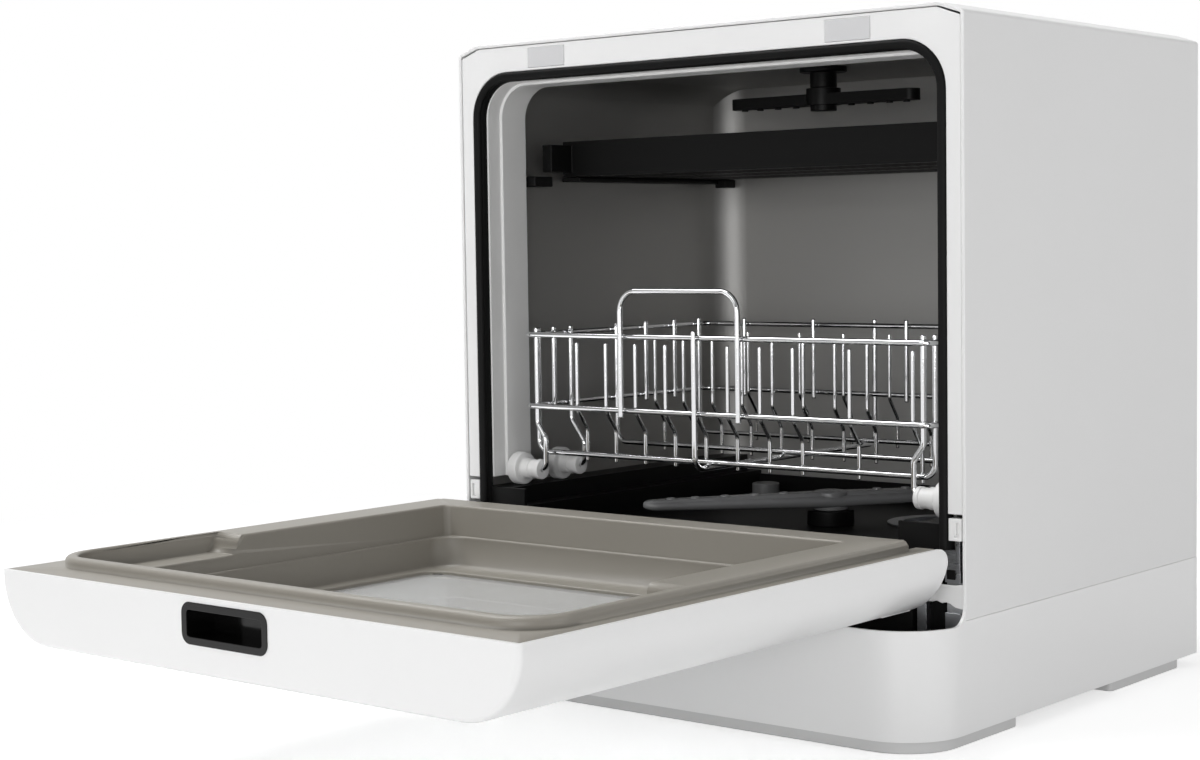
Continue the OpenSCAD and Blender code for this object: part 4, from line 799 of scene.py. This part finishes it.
def bend_wire(bm, points, radius, bend, sides=12, closed=False):
    """A round wire through points, with round bends, and domed tips unless it is closed."""
    points = [Vector(p) for p in points]
    if closed:
        start = (points[0] + points[1]) / 2
        points = [start, *points[1:], points[0], start]
    heading = (points[1] - points[0]).normalized()
    turn = heading.to_track_quat("Z", "Y").to_matrix().to_4x4()
    first = 1.0 if closed else 0.45
    made = bmesh.ops.create_circle(bm, cap_ends=not closed, segments=sides, radius=radius * first,
                                   matrix=Matrix.Translation(points[0]) @ turn)
    start_verts = set(made["verts"])
    ring = [e for e in bm.edges if set(e.verts) <= start_verts and len(e.link_faces) < 2]
    ring = [e for e in ring if e.calc_length() < radius * first]
    used = 0.0
    if not closed:
        ring = push(bm, ring, heading * radius * 0.22, 0.85 / 0.45)
        ring = push(bm, ring, heading * radius * 0.30, 1.0 / 0.85)
        used = radius * 0.52
    for i in range(1, len(points)):
        run = points[i] - points[i - 1]
        heading = run.normalized()
        last = i == len(points) - 1
        trim = 0.0
        if not last:
            after = (points[i + 1] - points[i]).normalized()
            angle = heading.angle(after)
            trim = bend * math.tan(angle / 2)
        ends = radius * 0.52 if last and not closed else 0.0
        length = run.length - used - trim - ends
        if length > 0.01:
            ring = pull(bm, ring, heading * length)
        if not last:
            axis = heading.cross(after).normalized()
            centre = points[i] - heading * trim + axis.cross(heading) * bend
            steps = max(2, round(math.degrees(angle) / 15))
            ring = spin(bm, ring, centre, axis, math.degrees(angle), steps)
            used = trim
        elif not closed:
            ring = push(bm, ring, heading * radius * 0.30, 0.85)
            ring = push(bm, ring, heading * radius * 0.22, 0.45 / 0.85)
            bmesh.ops.edgeloop_fill(bm, edges=ring)


def weld(bm, place, size):
    """A small round bead where two wires are welded."""
    bmesh.ops.create_uvsphere(bm, u_segments=8, v_segments=6, radius=size,
                              matrix=Matrix.Translation(place))


# %% Rails, cross wires, spine, uprights and handle
rail, tine = 2.0, 1.4
rack_half, rack_y0, rack_y1, top_rail, middle_rail, under = 172.0, 24.0, 242.0, 247.0, 195.0, 161.0
cross_ys = (34.8, 124.4, 228.0)
side_x = rack_half - 2 * rail

bm = bmesh.new()
for z in (top_rail, middle_rail):
    bend_wire(bm, [(-rack_half, rack_y0, z), (rack_half, rack_y0, z), (rack_half, rack_y1, z),
                   (-rack_half, rack_y1, z)], rail, 8, 14, closed=True)
finish_piece(bm, "rails", "rack_rails", crisp=80)

bm = bmesh.new()
for y in cross_ys:
    bend_wire(bm, [(-side_x, y, top_rail + 5), (-side_x, y, under), (side_x, y, under),
                   (side_x, y, top_rail + 5)], rail, 9)
    for x in (-side_x, side_x):
        for z in (top_rail, middle_rail):
            weld(bm, (x + math.copysign(rail, x), y, z), 1.7)
finish_piece(bm, "cross_wires", "rack_cross_wires", crisp=80)

bm = bmesh.new()
spine_x, spine_y0, spine_y1 = -13.2, rack_y0 - 2 * rail, rack_y1 + 2 * rail
bend_wire(bm, [(spine_x, spine_y0, top_rail + 5), (spine_x, spine_y0, under - 4),
               (spine_x, spine_y1, under - 4), (spine_x, spine_y1, top_rail + 5)], rail, 9)
for z in (top_rail, middle_rail):
    weld(bm, (spine_x, spine_y0 + rail, z), 1.7)
finish_piece(bm, "spine_wire", "rack_spine", crisp=80)

bm = bmesh.new()
for x, y in ([(s * side_x, y) for s in (-1, 1) for y in (52, 160, 196)]
             + [(x, rack_y1 - 2 * rail) for x in (-130, -64, 20, 92)]):
    bend_wire(bm, [(x, y, middle_rail - 5), (x, y, top_rail + 5)], rail, 9)
    for z in (top_rail, middle_rail):
        out = (math.copysign(rail, x), 0) if abs(x) == side_x else (0, rail)
        weld(bm, (x + out[0], y + out[1], z), 1.7)
finish_piece(bm, "uprights", "rack_uprights", crisp=80)

bm = bmesh.new()
grip_left, grip_right, grip_top, grip_y = -78.0, 24.0, 279.0, rack_y0 - 2 * rail
bend_wire(bm, [(grip_left, grip_y, middle_rail - 5), (grip_left, grip_y, grip_top),
               (grip_right, grip_y, grip_top), (grip_right, grip_y, middle_rail - 5)], rail, 14)
for x in (grip_left, grip_right):
    for z in (top_rail, middle_rail):
        weld(bm, (x, grip_y + rail, z), 1.7)
finish_piece(bm, "grip_wire", "rack_handle", crisp=80)

# %% Plate tines
full_row = [-124.5 + 26.87 * i for i in range(8)] + [108.2, 156]
sparse_row = [-114, -65, -25, 16, 58]
row_ys = (27.4, 117.0, 220.6)
tine_step, bend_z = 10.8, middle_rail - 1.6


def plate_tines(bm, places, y):
    """A row of tines: upright, stepped back under the plates, ending on its cross wire."""
    for x in places:
        bend_wire(bm, [(x, y, top_rail - 5), (x, y, bend_z), (x, y + tine_step, bend_z - 14.4),
                       (x, y + tine_step, under - 5)], tine, 6, 10)
        weld(bm, (x, y + tine_step - 1.7, under), 1.4)


bm = bmesh.new()
plate_tines(bm, full_row, row_ys[0])
for x in full_row:
    weld(bm, (x, row_ys[0] - tine, middle_rail), 1.4)
finish_piece(bm, "front_row", "front_tines", crisp=80)
bm = bmesh.new()
plate_tines(bm, full_row, row_ys[1])
plate_tines(bm, sparse_row, row_ys[2])
finish_piece(bm, "rear_rows", "rear_tines", crisp=80)

# %% Roller wires
roller_z, roller_ys, disc_end, wire_x, kink_z = 148.5, (28.0, 71.0), 184.5, 156.0, 182.0
bm = bmesh.new()
for side in (-1, 1):
    for y, step in zip(roller_ys, (7.5, 12.0)):
        high_x = side * (wire_x + step)
        bend_wire(bm, [(high_x, y, top_rail + 5), (high_x, y, kink_z),
                       (side * wire_x, y, kink_z - step * 4 / 3), (side * wire_x, y, roller_z),
                       (side * (disc_end + 1.5), y, roller_z)], rail, 6)
finish_piece(bm, "roller_wires", "roller_axles", crisp=80)

# %% [markdown]
# ## Rollers
#
# Each roller is turned on a lathe in effect: half its cross-section is drawn beside the axle and
# spun a full turn. It has a wide disc that runs on the track and a hub towards the rack.

# %% Rollers
bore, hub, rim = 2.05, 7.3, 12.0
roller_profile = [(159.6, bore), (159.0, bore + 0.8), (159.0, hub - 1.0), (159.3, hub - 0.3),
                  (160.0, hub), (162.6, hub), (163.0, hub - 0.6), (168.6, hub - 0.6),
                  (169.0, hub), (175.2, hub), (176.0, hub + 0.7), (176.0, rim - 1.2),
                  (176.4, rim - 0.4), (177.2, rim), (183.3, rim), (184.1, rim - 0.4),
                  (184.5, rim - 1.2), (184.5, hub), (184.1, hub - 0.6), (180.2, hub - 1.0),
                  (180.0, hub - 2.6), (184.5, bore + 2.4), (184.5, bore + 0.6), (184.0, bore)]
for side, side_name in ((-1, "left"), (1, "right")):
    for y, row_name in zip(roller_ys, ("front", "rear")):
        bm = bmesh.new()
        turn_on_lathe(bm, [(side * x, r) for x, r in roller_profile], (0, y, roller_z))
        finish_piece(bm, f"roller_{row_name}_{side_name}_turned", f"roller_{row_name}_{side_name}",
                     crisp=40)

# %% [markdown]
# ## The end
#
# Lastly the view layer is brought up to date.

# %% Bring the view layer up to date
bpy.context.view_layer.update()
